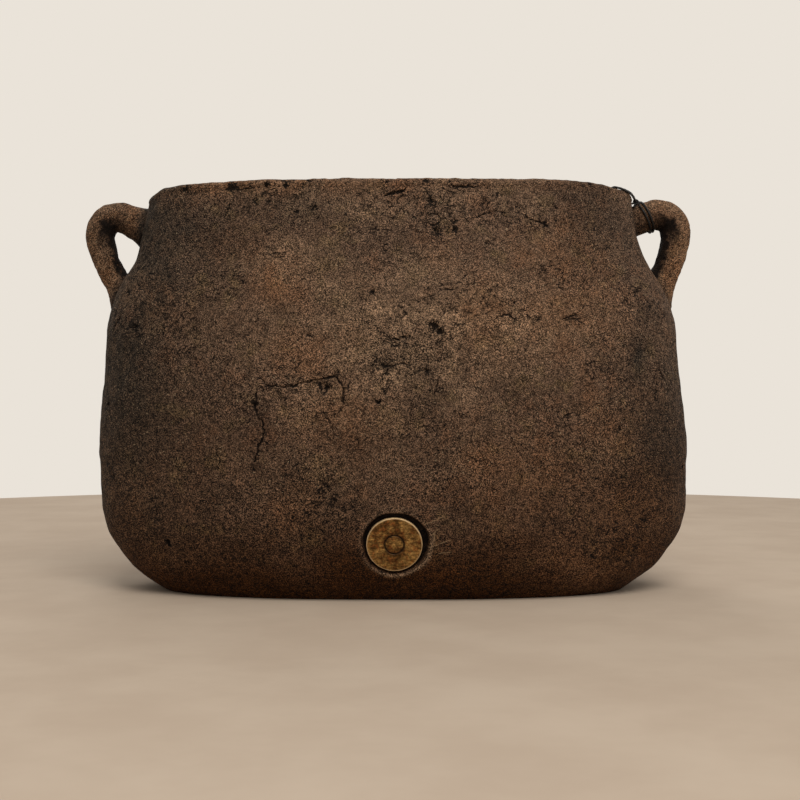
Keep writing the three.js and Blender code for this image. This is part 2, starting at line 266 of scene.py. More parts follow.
def outside(height):
    """Reach to the left, to the right and half depth at each height."""
    height = np.atleast_1d(np.asarray(height, float))
    h = STATIONS[:, 0]
    i = np.clip(np.searchsorted(h, height) - 1, 0, len(h) - 2)
    span = (h[i + 1] - h[i])[:, None]
    t = ((height - h[i])[:, None]) / span
    s = 1 - t
    a, b = STATIONS[i, 1:], STATIONS[i + 1, 1:]
    ends = (1 + 2 * t) * s * s * a + t * t * (3 - 2 * t) * b
    return ends + span * (t * s * s * SLOPES[i] - t * t * s * SLOPES[i + 1])


def inside(height):
    height = np.atleast_1d(np.asarray(height, float))
    slope = outside(height + 0.5) - outside(height - 0.5)
    rise = np.minimum(1, (height - FLOOR) / FILLET)
    fillet = FILLET * (1 - np.sqrt(np.maximum(0, 1 - (1 - rise) ** 2)))
    return outside(height) - WALL * np.hypot(1, slope) - fillet[:, None]


# Zones of the section: underside, outside, rim, inside and floor.
UNDER, OUTER, RIM, INNER, BED = range(5)


def section_table():
    """The whole section, from the middle of the underside up the outside, over the
    lip, down the inside and in to the middle of the floor."""
    start, few, many = HEIGHT - LIP, 60, 1200
    shares = np.linspace(0.02, 1, few, endpoint=False)[:, None]
    up = np.linspace(0, start, many, endpoint=False)
    over = np.linspace(0, math.pi / 2, few)
    back = over[::-1][1:]
    down = np.linspace(start, FLOOR, many, endpoint=False)[1:]
    across = np.linspace(1, 0.02, few)[:, None]
    parts = (
        (UNDER, np.zeros(few), shares * outside(0)[0]),
        (OUTER, up, outside(up)),
        (RIM, start + LIP * np.sin(over), outside(start)[0] - LIP * (1 - np.cos(over))[:, None]),
        (RIM, start + LIP * np.sin(back), inside(start)[0] + LIP * (1 - np.cos(back))[:, None]),
        (INNER, down, inside(down)),
        (BED, np.full(few, FLOOR), across * inside(FLOOR)[0]),
    )
    rows = [np.column_stack([z, reaches]) for _, z, reaches in parts]
    return np.vstack(rows), np.concatenate([np.full(len(z), zone) for zone, z, _ in parts])


SECTION, ZONE = section_table()
RUN = running(np.hypot(np.diff(SECTION[:, 0]), np.diff(SECTION[:, 1:].mean(axis=1))))


def oval(theta, left, right, depth):
    c, s = np.cos(theta), np.sin(theta)
    x = np.sign(c) * np.abs(c) ** (2 / ROUNDNESS) * np.where(c < 0, left, right)
    y = np.sign(s) * np.abs(s) ** (2 / ROUNDNESS) * depth
    return x, y


# Columns lie at even distances round the belly, which is taken as this oval.
BELLY = (200, 200, 91)
TURN_TABLE = np.linspace(0, 2 * math.pi, 20001)
TURN_SHARE = running(np.hypot(*np.diff(oval(TURN_TABLE, *BELLY))))
TURN_SHARE /= TURN_SHARE[-1]


def surface(run, share):
    """Points of the smooth pot at a run along the section and a share of a turn."""
    theta = np.interp(share % 1.0, TURN_SHARE, TURN_TABLE)
    z, left, right, depth = (np.interp(run, RUN, SECTION[:, k]) for k in range(4))
    x, y = oval(theta, left, right, depth)
    return np.stack([x, y, z], axis=1)


def surface_point(run, share):
    """One point of the smooth pot."""
    return surface(np.array([run]), np.array([share]))[0]


def surface_normal(run, share):
    dr, ds = 0.4, 0.0006
    up = surface(np.minimum(run + dr, RUN[-1]), share) - surface(np.maximum(run - dr, 0), share)
    round_ = surface(run, share + ds) - surface(run, share - ds)
    n = np.cross(round_, up)
    return n / np.maximum(np.linalg.norm(n, axis=1), 1e-9)[:, None]


def run_at_height(height):
    """The run on the outside at a height."""
    on = ZONE == OUTER
    return np.interp(height, SECTION[on, 0], RUN[on])


def front_point(x, z):
    """A point on the front, straight ahead of the middle plane."""
    left, right, depth = outside(z)[0]
    reach = left if x < 0 else right
    y = -depth * max(0.0, 1 - abs(x / reach) ** ROUNDNESS) ** (1 / ROUNDNESS)
    return np.array([x, y, z])


# ---- cord's shape
ARM_RADIUS, ARM_FOOT_RADIUS, SEAT_GAP = 10.3, 8.9, 0.3
# Knots of the arms' middle lines: drop below the rim, and distance off the wall.
LEFT_ARM = (
    (22.5, -6), (18.5, 8.3), (14.2, 21.4), (17, 29.6), (27.2, 31.9), (43.6, 24.6), (54.8, 14.1),
    (75, -6),
)
RIGHT_ARM = (
    (20.5, -6), (17, 4), (13.8, 13.2), (13, 18.9), (16.4, 27.7), (27.2, 29.5), (43.6, 21),
    (55.5, 10.3), (72, -5),
)


def arm_line(knots, side, count):
    """The middle line of an arm, at even distances."""
    points = []
    for drop, out in knots:
        height = HEIGHT - drop
        reach = outside(height)[0][0 if side < 0 else 1]
        points.append((side * (reach + out), 0, height))
    return evenly(catmull(points, 60), count)


def arm_radius(t):
    return ARM_RADIUS + (ARM_FOOT_RADIUS - ARM_RADIUS) * smoothstep(0.45, 0.95, t)


def arm_across(line, side):
    """The axis in the arm's own plane that points to the outer side of its bend."""
    return -side * np.cross(tangents(line), FRONT)


RIGHT_LINE = arm_line(RIGHT_ARM, 1, 2001)
RIGHT_ACROSS = arm_across(RIGHT_LINE, 1)
RISING = 600  # points of the right line, from its start, over which x only grows


def on_arm(x, angle, lift=0.0):
    """A point of a cord that lies on the right arm."""
    k = int(np.searchsorted(RIGHT_LINE[:RISING, 0], x))
    reach = ARM_RADIUS + SEAT_GAP + CORD_RADIUS + lift
    a = math.radians(angle)
    return RIGHT_LINE[k] + reach * (math.cos(a) * RIGHT_ACROSS[k] + math.sin(a) * FRONT)


HITCH_START_ANGLE, HITCH_END_ANGLE, HITCH_STEP = 56, 655, 15
HITCH_START, HITCH_SLANT, HITCH_PITCH = 175.4, 1.0, 2.6
HITCH_LEAD_IN, HITCH_END = (172.3, -7.4, 267.9), (171.4, -3.1, 271.2)
HITCH_CROSSING = ((179.6, -45, 0.6), (178.9, -30, 1.6), (177.9, -15, 2.2), (176.9, -2, 2.2))
KNOT_CENTRE = np.array((170.6, -6.0, 269.8))
# The way of the tag's cord over the rim, down, through the tag's hole and back.
TAG_ROUTE = (
    (169.9, -8.9, 269.6), (169.3, -11, 269.8), (167.5, -15.6, 271), (164.6, -21.8, 272.8),
    (160.4, -27.3, 274.2), (155.7, -31.4, 275.4), (150.9, -31.8, 276.4), (147, -28.4, 274.1),
    (146.6, -27.7, 269), (147, -28.2, 255), (147, -28.4, 240), (146.7, -28.8, 225),
    (146.4, -29.2, 212), (146.35, -29.3, 207.1), (147, -28.5, 204.8), (148.4, -26.9, 204),
    (149.8, -25.3, 204.8), (150.45, -24.5, 207.1), (150.4, -24.6, 212), (149.9, -25, 225),
    (149.3, -25.4, 240), (148.9, -25.6, 255), (148.6, -25.5, 269), (149.2, -26.4, 273.8),
    (151.5, -27.8, 276.1), (154.4, -27.3, 276.7), (157.8, -24.4, 276.4), (161.3, -20, 276),
    (164.9, -15.5, 275.1), (167.6, -11.3, 273.4), (169.2, -8.7, 271.7),
)


def hitch_line():
    steps = round((HITCH_END_ANGLE - HITCH_START_ANGLE) / HITCH_STEP)
    winding = []
    for angle in np.linspace(HITCH_START_ANGLE, HITCH_END_ANGLE, steps + 1):
        lean = HITCH_SLANT * (1 - math.cos(math.radians(angle))) / 2
        winding.append(on_arm(HITCH_START + lean + HITCH_PITCH * angle / 360, angle))
    crossing = [on_arm(*place) for place in HITCH_CROSSING]
    return catmull([HITCH_LEAD_IN, *winding, *crossing, HITCH_END], 24)


tag_cord, tag_line = plied_cord("tag_cord_thread", catmull(TAG_ROUTE, 30))
hitch, hitch_centre = plied_cord("hitch_thread", hitch_line())


def knot_points():
    """A closed three-lobed loop, drawn tight."""
    t = np.linspace(0, 2 * math.pi, 181)
    x = np.sin(t) + 2 * np.sin(2 * t)
    y = np.cos(t) - 2 * np.cos(2 * t)
    z = -1.25 * np.sin(3 * t)
    loop = np.stack([x, z, y], axis=1) * 0.66
    turn = Matrix.Rotation(math.radians(25), 3, "Y") @ Matrix.Rotation(math.radians(20), 3, "Z")
    return loop @ np.array(turn).T + KNOT_CENTRE


def build_knot():
    parts = [plied_cord("knot_loop", knot_points())[0]]
    bend = np.array((0.25, -0.1, -0.3))
    for name, direction, reach in (
        ("knot_tail", (-0.45, -0.6, -0.66), 5.6),
        ("knot_tail_short", (-0.9, -0.35, -0.2), 3.6),
    ):
        direction = np.array(direction) / np.linalg.norm(direction)
        line = [KNOT_CENTRE + direction * reach * k + bend * k * k for k in (0, 0.4, 0.7, 1)]
        parts.append(plied_cord(name, catmull(line, 12))[0])
    with bpy.context.temp_override(
        active_object=parts[0], selected_editable_objects=parts, selected_objects=parts
    ):
        bpy.ops.object.join()
    parts[0].name = "knot_thread"
    return parts[0]


knot = build_knot()


# ---- marks in the clay
# Cracks on the front: width, depth, then places as x and height.
FRONT_CRACKS = (
    (1.3, 1.4, -85, 145.6, -82, 141.6, -78.4, 139.9, -74.6, 139.7, -68.2, 139.2, -63.2, 139.7,
    -58.4, 141.6, -54.4, 142.6, -49.5, 144.2, -45.6, 144.2, -38.8, 145.5, -36.3, 146.3, -33.9,
    142.6, -31.5, 138.6, -31.4, 132.8, -31.7, 126), (0.8, 0.8, -82, 141.6, -80.5, 137.3),
    (0.8, 0.8, -74.1, 139.3, -73.2, 136.1, -71.5, 130.9), (1.1, 1.2, -87, 137.7, -87.4, 130.9,
    -88.4, 126.5, -86.3, 120.1, -82.4, 116.2, -82.8, 107.5, -85.3, 101.6, -86.8, 95.2, -89.8,
    89.8), (0.9, 1, -44.1, 121.1, -40.6, 118.2, -38.7, 113.3, -37.5, 107.6),
    (0.8, 0.8, -21.7, 106.6, -21.7, 100.7),
    (1.6, 1.6, 22.5, 180.4, 26.6, 178.6, 29.5, 174.8, 32.9, 172.3),
    (1, 1.1, 23.1, 180.2, 29.5, 181.1), (0.9, 0.9, 32, 171.5, 30.1, 168.6),
    (0.9, 0.9, 37.4, 189.6, 39.8, 190.3, 43.3, 191.6),
    (0.8, 0.8, 16.8, 195.5, 20, 195.9, 23.7, 197.4), (1, 0.9, 37.8, 178.8, 42.2, 179.3),
    (1, 1, -1.8, 169.9, 2, 169.6, 5, 170.1, 8.4, 171.9), (0.8, 0.8, -10.1, 175.3, -6.6, 174.6),
    (0.9, 1, -9.5, 153.3, -4.7, 152.8, 0.2, 153.1, 5, 154.2, 9.9, 153.8),
    (0.8, 0.8, -4.7, 152.8, -2.7, 147.4), (0.8, 0.8, -1.3, 145.5, -3.7, 141.8, -5.2, 137.7),
    (1, 1, 15.8, 149.8, 21.1, 150.4, 26.5, 149.8),
    (0.9, 0.9, 30.4, 146.5, 27.4, 138.6, 26.5, 132.8), (0.8, 0.8, 33.3, 159.2, 36.3, 159.2),
    (0.8, 0.8, 42.5, 125, 44.6, 122.7, 46.9, 119.2),
    (2.2, 1.8, -5.6, 264.1, 0, 265.6, 5.7, 267.1, 8.5, 269.2), (1, 1, 7.2, 265, 3.3, 262),
    (1, 1, 21.5, 262.4, 25.5, 261.7, 28.1, 259.4, 26.7, 256.7), (0.9, 0.9, 22.5, 250.7, 25.4,
    252.6, 29.3, 251.7, 30.8, 248.1, 28.6, 244.7, 24.7, 244.4, 22.5, 247),
    (0.9, 0.9, 38.2, 254.1, 40.7, 252.1, 40.2, 246.2),
    (0.8, 0.8, 32, 255.1, 35.2, 256.2, 37.8, 255.7), (0.9, 0.9, 50.2, 248.5, 54.1, 249.9, 58,
    251.5, 65.2, 254.5, 70.9, 253.9, 74.4, 249.6), (1, 1, 82.4, 254.2, 86.5, 251.6, 91, 248.6,
    98.3, 247.3, 101.9, 244.6), (0.7, 0.7, 59.4, 253.7, 62.1, 259.1, 64.1, 262.5),
    (1.3, 0.9, 35.4, 270.8, 41.2, 270.3, 47.7, 269.8, 55.4, 270.3),
    (0.8, 0.8, 62, 231.9, 65.1, 234.8, 67.8, 236.4), (1, 1, 64, 181.9, 67.5, 184.8, 71.3, 185.5,
    75.2, 186.2, 76.7, 183.4, 79, 182.7), (0.9, 0.9, 83.7, 184.9, 87.5, 184.2, 91.5, 185),
    (1.2, 1.1, 109.3, 183.1, 115.2, 185.8, 119.3, 186.2, 123.2, 186.8),
    (0.9, 0.9, 111.2, 182, 117.3, 183.4, 121.3, 185.5),
    (0.8, 0.8, 29.3, 200.8, 34.1, 202.1, 40.5, 202.3),
    (1, 1, 158.1, 201.7, 161.6, 203.5, 165.8, 205.9),
    (0.8, 0.8, 171.1, 198.7, 173.4, 197.3, 176.9, 196.2),
    (0.9, 0.9, 179.5, 194.8, 181, 190.9, 181.5, 186.8, 179.9, 180.6),
    (0.9, 0.9, -104.6, 264.2, -106.9, 261, -108.9, 257.1, -110.9, 252.1),
    (0.8, 0.8, -83.3, 261.5, -80, 264.5, -75.7, 266.4),
    (1, 0.8, -113.2, 269.4, -103.6, 269.7, -92.8, 269.6), (0.8, 0.8, -37.5, 260.6, -34.7, 262.1),
    (0.7, 0.7, -20.5, 264.3, -19.2, 266.3),
    (1.3, 1.2, -183.1, 188.8, -185.9, 184.9, -188.4, 180.9, -190, 176.3),
    (0.8, 0.8, -176.6, 179.6, -171.4, 179.4, -170.3, 176.1),
    (0.7, 0.6, -81.1, 225, -77.3, 226.1, -72.7, 226.2),
    (0.8, 0.8, -59.1, 54.5, -55.3, 58.4, -53.3, 62.3),
    (0.8, 0.8, -157, 63.6, -154.9, 58.4, -155.8, 53.8),
    (0.8, 0.7, 107.2, 118.2, 111.2, 122, 116.5, 123.3),
    (0.8, 0.8, 127.6, 153.7, 130.3, 149.1, 129.5, 143.3),
    (0.9, 0.9, -113.5, 97.6, -110.9, 92.5, -112.3, 86.7),
    (1.3, 1.1, 177.4, 151.8, 179, 148.5, 180.8, 145.6),
    (1.2, 1, 175.2, 142.5, 175, 138, 174.4, 134.2),
)
# Pits on the front: x, height, radius, depth.
FRONT_PITS = (
    (-43.4, 138.6, 3.4, 2.6), (-88.4, 127.8, 2.6, 2.2), (26.6, 177.9, 3.6, 2.4),
    (30.1, 174.4, 2.4, 2), (8.4, 171.6, 2, 1.7), (21.8, 149.8, 1.6, 1.3), (-9.1, 129.4, 1.9, 1.6),
    (-5.2, 152.6, 1.4, 1.2), (-53.6, 172.9, 1.6, 1.2), (-12.4, 200.4, 1.8, 1.6),
    (25.5, 260.7, 2.6, 1.6), (28.9, 241.1, 2.6, 1.9), (39.5, 241.9, 2.2, 1.6),
    (32.4, 234.6, 1.1, 1), (100.2, 245.8, 2, 1.5), (-139, 271.5, 2.6, 2),
    (-83.4, 271.3, 1.9, 1.6), (-106.9, 271, 3.2, 1.1), (-51, 256.4, 1.8, 1.6),
    (-63, 253.7, 1.4, 1.2), (-33.1, 238.9, 1.4, 1.3), (-49.1, 249.5, 0.9, 0.8),
    (-171.4, 180.1, 2.4, 1.6), (-147.4, 37.4, 2.2, 1.6), (77.9, 193.4, 1.2, 1.1),
    (88.8, 232.8, 1.2, 1.1), (10.8, 253.7, 1, 1), (-0.6, 248.7, 1.1, 0.9), (1.3, 248.7, 0.9, 0.9),
    (47, 200.3, 1, 0.9), (137.6, 222.3, 1, 0.9), (61.1, 233, 1.3, 1), (-92.3, 202.1, 1, 0.9),
    (-27.7, 221.4, 0.9, 0.8), (-122.1, 196, 1.1, 0.9), (107.6, 257.8, 1.2, 1),
    (141.9, 268.3, 1.4, 1.1), (55.5, 67.4, 1, 0.8), (97.4, 86.2, 1.1, 0.9),
    (147.7, 111.5, 1.2, 1), (-144.8, 118, 1.1, 0.9), (-166.7, 144.2, 1.3, 1),
    (-126.2, 166.6, 1, 0.9), (68.3, 118.3, 1, 0.8), (23.6, 99.3, 1, 0.9), (-1.7, 86.6, 0.9, 0.8),
    (-27.2, 67.5, 1, 0.8), (120.7, 53.6, 1.1, 0.9), (-104.5, 60.4, 1.1, 0.9), (-71.9, 80, 1, 0.8),
    (-60.8, 265.1, 1.3, 1), (-70.1, 271.3, 1.6, 1.1),
)
# Scratches beside the medallion: places as x and height.
SCRATCHES = (
    (20, 51.7, 25.3, 53.5, 31.6, 56.6), (25.8, 45.5, 28.9, 48.7), (26.7, 42, 26.7, 45.3),
    (30.4, 39.5, 36.5, 41.4), (29.9, 33, 36.6, 33.9), (22.5, 36.5, 28.2, 38.4),
)
NO_CRACK, SPLIT_REACH, FAR = -1.0, 1.7, 9.0
SIDE_CRACKS, SIDE_PITS, RIM_PITS = 46, 84, 46
CRACK_STEP, CRACK_JITTER, WANDER_STEP, GIRTH = 1.3, 0.34, 5, 1010.0
CRACK_STARTS, CRACK_LIMITS, PIT_HEIGHTS = (14, 268), (8, 270), (12, 270)
FRONT_SIDE, FRONT_REACH = -30, 175


def places(row):
    """The places in a row of numbers: x and height."""
    return np.reshape(row, (-1, 2))


def on_front(place):
    """Whether a place is on the front, where the marks are listed one by one."""
    return place[1] < FRONT_SIDE and abs(place[0]) < FRONT_REACH


def crack_line(points, seed):
    """A ragged line through places on the front or points of the surface."""
    rng = np.random.default_rng(seed)
    line = np.array([front_point(*p) if len(p) == 2 else p for p in points])
    count = max(3, int(arc_lengths(line)[-1] / CRACK_STEP) + 1)
    line = evenly(line, count)
    line[1:-1] += rng.normal(0, CRACK_JITTER, (count - 2, 3))
    return line


def wandering(run, share, heading, length, rng):
    """A line that wanders over the outside from a place, for the sides and back."""
    points = []
    for _ in range(max(2, int(length / WANDER_STEP)) + 1):
        points.append(surface_point(run, share))
        heading += rng.normal(0, 0.45)
        share += WANDER_STEP * math.cos(heading) / GIRTH
        run += WANDER_STEP * math.sin(heading)
    return points


def all_cracks():
    cracks = [
        (row[0], row[1], crack_line(places(row[2:]), 100 + k)) for k, row in enumerate(FRONT_CRACKS)
    ]
    rng = np.random.default_rng(41)
    low, high = (run_at_height(height) for height in CRACK_STARTS)
    made = 0
    while made < SIDE_CRACKS:
        share, place = rng.random(), rng.random()
        run = low + (high - low) * place**0.75
        if on_front(surface_point(run, share)):
            continue
        heading = rng.choice([0, math.pi]) + rng.normal(0, 0.5)
        length = rng.uniform(6, 16) if rng.random() < 0.6 else rng.uniform(16, 44)
        points = wandering(run, share, heading, length, rng)
        heights = [p[2] for p in points]
        if max(heights) > CRACK_LIMITS[1] or min(heights) < CRACK_LIMITS[0]:
            continue
        width = rng.uniform(0.8, 1.3)
        cracks.append((width, width * rng.uniform(0.9, 1.1), crack_line(points, 300 + made)))
        made += 1
    return cracks


def all_pits():
    pits = [(front_point(x, z), radius, depth) for x, z, radius, depth in FRONT_PITS]
    rng = np.random.default_rng(57)
    low, high = (run_at_height(height) for height in PIT_HEIGHTS)
    made = 0
    while made < SIDE_PITS:
        share, run = rng.random(), low + (high - low) * rng.random() ** 0.7
        place = surface_point(run, share)
        radius = min(3.4, rng.lognormal(0.15, 0.42))
        if on_front(place):
            continue
        pits.append((place, radius, radius * rng.uniform(0.6, 0.85)))
        made += 1
    rim = RUN[ZONE == RIM]
    for _ in range(RIM_PITS):
        run = rim[0] + rng.uniform(0.02, 0.98) * (rim[-1] - rim[0])
        place = surface_point(run, rng.random())
        radius = min(2.8, rng.lognormal(0.1, 0.45))
        pits.append((place, radius, radius * 0.6))
    return pits


def in_box(points, line, margin):
    """Which points lie in the box round a line, or within a margin of that box."""
    low, high = line.min(axis=0) - margin, line.max(axis=0) + margin
    return np.nonzero(np.all((points > low) & (points < high), axis=1))[0]


def line_distance(points, line, normal=None):
    """Distance to a line; with normals, which side of it each point is on as well."""
    best = np.full(len(points), np.inf)
    side = np.ones(len(points))
    for a, b in zip(line[:-1], line[1:]):
        d = b - a
        t = np.clip((points - a) @ d / max(d @ d, 1e-9), 0, 1)
        away = np.linalg.norm(points - a - t[:, None] * d, axis=1)
        nearer = away < best
        best[nearer] = away[nearer]
        if normal is not None:
            turn = np.einsum("ij,ij->i", np.cross(d, points - a), normal)
            side[nearer] = np.where(turn[nearer] < 0, -1, 1)
    return best if normal is None else (best, side)


def marks(points, normal, cracks, pits, scratches):
    """How deep the clay is cut at each point, the distance to the middle of the
    nearest crack or scratch (negative on one side of it), the crack's half width
    there, the scratch's strength, and how far inside a pit the point is."""
    count = len(points)
    deep, hole, scar = np.zeros(count), np.zeros(count), np.zeros(count)
    split, gape = np.full(count, FAR), np.full(count, NO_CRACK)
    ragged = 1 + 0.45 * noise(points, 1.7, 71) + 0.3 * noise(points, 5, 72)

    def cut(k, depth, profile):
        deep[k] = np.maximum(deep[k], depth * (1 - profile))

    def note(k, line):
        """Keeps the distances of a line where it is the nearest; says where it's close."""
        away, side = line_distance(points[k], line, normal[k])
        nearer = (away < np.abs(split[k])) & (away < SPLIT_REACH + 1)
        split[k[nearer]] = (away * side)[nearer]
        return away, nearer & (away < SPLIT_REACH)

    for width, depth, line in cracks:
        k = in_box(points, line, 2.5 * width + 1)
        ends = np.minimum(
            np.linalg.norm(points[k] - line[0], axis=1),
            np.linalg.norm(points[k] - line[-1], axis=1),
        )
        reach = width / 2 * np.clip(ragged[k], 0.35, 1.7) * (0.3 + 0.7 * smoothstep(0, 5, ends))
        away, on = note(k, line)
        cut(k, depth, smoothstep(0.3, 1.5, away / reach))
        gape[k[on]] = reach[on]
    for line in scratches:
        k = in_box(points, line, 3)
        on = k[note(k, line)[1]]
        scar[on], gape[on] = 1, NO_CRACK
    for place, radius, depth in pits:
        k = in_box(points, place[None], 2.4 * radius + 0.5)
        lumpy = 1 + 0.5 * noise(points[k], max(0.8, radius * 0.8), 73)
        d = np.linalg.norm(points[k] - place, axis=1) / (radius * np.clip(lumpy, 0.4, 1.6))
        cut(k, depth, smoothstep(0.25, 1.15, d))
        hole[k] = np.maximum(hole[k], np.clip(1 - d / 2, 0, 1) * min(1, 0.55 + radius / 4))
    return deep, split, gape, scar, hole


def near_marks(points, cracks, pits, scratches, margin):
    """Which points lie near a mark that needs a finer mesh."""
    near = np.zeros(len(points), bool)
    lines = [(line, margin + width, margin + width / 2) for width, _, line in cracks]
    lines += [(line, margin, margin * 0.8) for line in scratches]
    for line, box, reach in lines:
        k = in_box(points, line, box)
        near[k] |= line_distance(points[k], line) < reach
    for place, radius, _ in pits:
        if radius >= 1.15:
            k = in_box(points, place[None], radius + margin)
            near[k] |= np.linalg.norm(points[k] - place, axis=1) < radius + margin * 0.6
    return near


# ---- recess
MEDALLION_HEIGHT, MEDALLION_RADIUS, MEDALLION_THICKNESS = 38.7, 18.0, 2.2
MEDALLION_ASIDE = 1.4
MEDALLION_INSET, GLUE, RECESS_MARGIN = 1.6, 0.4, 2.4
MEDALLION_SHIFT, MEDALLION_DROP = -0.4, 0.8
RECESS_RADIUS = MEDALLION_RADIUS + RECESS_MARGIN
RECESS_DEPTH = MEDALLION_INSET + MEDALLION_THICKNESS + GLUE + 2 * SEAT_GAP
above, at, below = outside(MEDALLION_HEIGHT + MEDALLION_RADIUS * np.array((1, 0, -1)))[:, 2]
LEAN = math.atan2(above - below, 2 * MEDALLION_RADIUS)
RECESS_ORIGIN = np.array((MEDALLION_ASIDE, -at, MEDALLION_HEIGHT))
RECESS_UP = np.array((0.0, -math.sin(LEAN), math.cos(LEAN)))
RECESS_OUT = np.array((0.0, -math.cos(LEAN), -math.sin(LEAN)))


def recessed(points):
    """Presses the recess into points of the front; says how deep each one went, and where the
    raised lip round it is lit, on its lower side, for a painted highlight.
    """
    rel = points - RECESS_ORIGIN
    aside, up, out = rel[:, 0], rel @ RECESS_UP, rel @ RECESS_OUT
    r = np.hypot(aside, up)
    angle = np.arctan2(up, aside)
    wobble = 0.25 * np.sin(3 * angle + 0.6) + 0.2 * np.sin(7 * angle)
    wobble += 1.3 * np.maximum(0, np.cos(angle - 0.15)) ** 2
    wobble += 0.5 * np.maximum(0, -np.cos(angle)) ** 2
    edge = RECESS_RADIUS + wobble
    front = (out > -14) & (points[:, 1] < 0)
    pressed = np.where(front, 1 - smoothstep(-0.9, 0.75, r - edge), 0)
    lip = np.exp(-(((r - edge - 1.7) / 1.25) ** 2)) * np.where(front, 1, 0)
    # The lip is raised more on its lower side, where it catches the light; that share is also
    # painted as a highlight.
    side = 0.35 + 0.65 * smoothstep(-0.2, 0.9, -np.sin(angle - 0.5))
    target = -RECESS_DEPTH + 0.25 * noise(points, 2.5, 88)
    moved = points + (pressed * (target - out))[:, None] * RECESS_OUT
    moved += (0.75 * lip * side)[:, None] * RECESS_OUT
    return moved, pressed, lip * side


# ---- pot
COLUMNS, FINE_CUTS, FINE_MARGIN, FINE_RECESS = 368, 3, 2.2, 3.2
ROW_SPACING = {UNDER: 17, OUTER: 2.65, RIM: 1.15, INNER: 4.8, BED: 15}


def rows_over(*zones):
    """The runs of the rows over zones."""
    runs = []
    for zone in zones:
        where = RUN[ZONE == zone]
        count = max(2, round((where[-1] - where[0]) / ROW_SPACING[zone]))
        runs += list(np.linspace(where[0], where[-1], count, endpoint=False))
    return runs


def pot_grid():
    """Runs and shares of the vertices, and the faces between them. From the lip
    inwards there are half as many columns."""
    fine, coarse = rows_over(UNDER, OUTER, RIM), [*rows_over(INNER, BED), RUN[-1]]
    half = COLUMNS // 2
    run = np.concatenate([np.repeat(fine, COLUMNS), np.repeat(coarse, half)])
    share = np.concatenate([
        np.tile(np.arange(COLUMNS) / COLUMNS, len(fine)),
        np.tile(np.arange(half) / half, len(coarse)),
    ])
    faces = [tuple(reversed(range(COLUMNS)))]
    for r in range(len(fine) - 1):
        faces += band(r * COLUMNS, (r + 1) * COLUMNS, COLUMNS)
    a, b = (len(fine) - 1) * COLUMNS, len(fine) * COLUMNS
    for k in range(half):
        i, j, n = 2 * k, 2 * k + 1, (2 * k + 2) % COLUMNS
        c, d = b + k, b + (k + 1) % half
        faces += [(a + i, a + j, c), (a + j, d, c), (a + j, a + n, d)]
    for r in range(len(coarse) - 1):
        faces += band(b + r * half, b + (r + 1) * half, half)
    faces.append(tuple(range(len(run) - half, len(run))))
    return run, share, faces


def refined(run, share, faces, near):
    """Cuts the faces near marks finer. The new vertices' places on the surface come
    from their runs and from the sine and cosine of their turns."""
    mesh = bpy.data.meshes.new("clay_pot")
    mesh.from_pydata(surface(run, share).tolist(), [], faces)
    turn = 2 * math.pi * share
    add_values(mesh, {"run": run, "cosine": np.cos(turn), "sine": np.sin(turn)})
    work = bmesh.new()
    work.from_mesh(mesh)
    edges = {edge for face in work.faces if near[face.index] for edge in face.edges}
    bmesh.ops.subdivide_edges(
        work, edges=sorted(edges, key=lambda edge: edge.index), cuts=FINE_CUTS,
        use_grid_fill=True, use_single_edge=True,
    )
    work.to_mesh(mesh)
    work.free()
    out = []
    for key in ("run", "cosine", "sine"):
        values = np.zeros(len(mesh.vertices), np.float32)
        mesh.attributes[key].data.foreach_get("value", values)
        out.append(values.astype(float))
        mesh.attributes.remove(mesh.attributes[key])
    run, cosine, sine = out
    return mesh, run, np.arctan2(sine, cosine) / (2 * math.pi) % 1.0


def under_cord(points):
    """Where the tag's cord goes over the rim."""
    return bell((points[:, 0], 155, 14), (points[:, 1], -27, 14))


def relief(points, zone):
    """How far the hand-built clay stands off the smooth shape, in millimetres."""
    x, y, z = points.T
    inner = zone >= INNER
    out = 0.62 * noise(points, 74, 1) + 0.42 * rough(points, 26, 5, 2)
    out += 0.30 * rough(points, 9.5, 9, 3)
    streaks = points * np.array((0.35, 0.35, 1.0))
    out += 0.28 * rough(streaks, 11, 21, 2) * (1 - inner) + 0.7 * rough(streaks, 20, 23, 2) * inner
    furrows = np.stack([0.75 * x + 0.66 * z, y, 0.16 * (0.66 * x - 0.75 * z)], axis=1)
    out += 0.4 * bell((x, 95, 62), (z, 226, 30)) * (1 - inner) * noise(furrows, 9, 25)
    flakes = smoothstep(0.10, 0.22, rough(points, 21, 31, 3))
    out -= 0.30 * flakes * smoothstep(0.0, 0.5, noise(points, 80, 33))
    lip = smoothstep(262, 271, z) * (zone <= RIM)
    edge = 0.32 * rough(points, 16, 41, 2) + 0.26 * rough(points, 4.5, 43, 2)
    return out + lip * (edge + 0.95 * smoothstep(270, 273, z)) * (1 - 0.9 * under_cord(points))


def worn_rim(points):
    """How far the rim stands up, and how far its ends are worn down."""
    x, y, z = points.T
    near_top = smoothstep(252, 274, z) * smoothstep(60, 25, y)
    fuller = 1.3 * bell((x, 122, 16)) * smoothstep(0, -30, y)
    fuller += 0.5 * smoothstep(-165, -140, x)
    seat = 0.7 * bell((x, 160, 6)) * smoothstep(0, -20, y)
    left = 3.2 * smoothstep(-156, -170, x)
    right = 1.8 * smoothstep(161, 167, x)
    return near_top * (fuller * (1 - under_cord(points)) + seat - left - right)


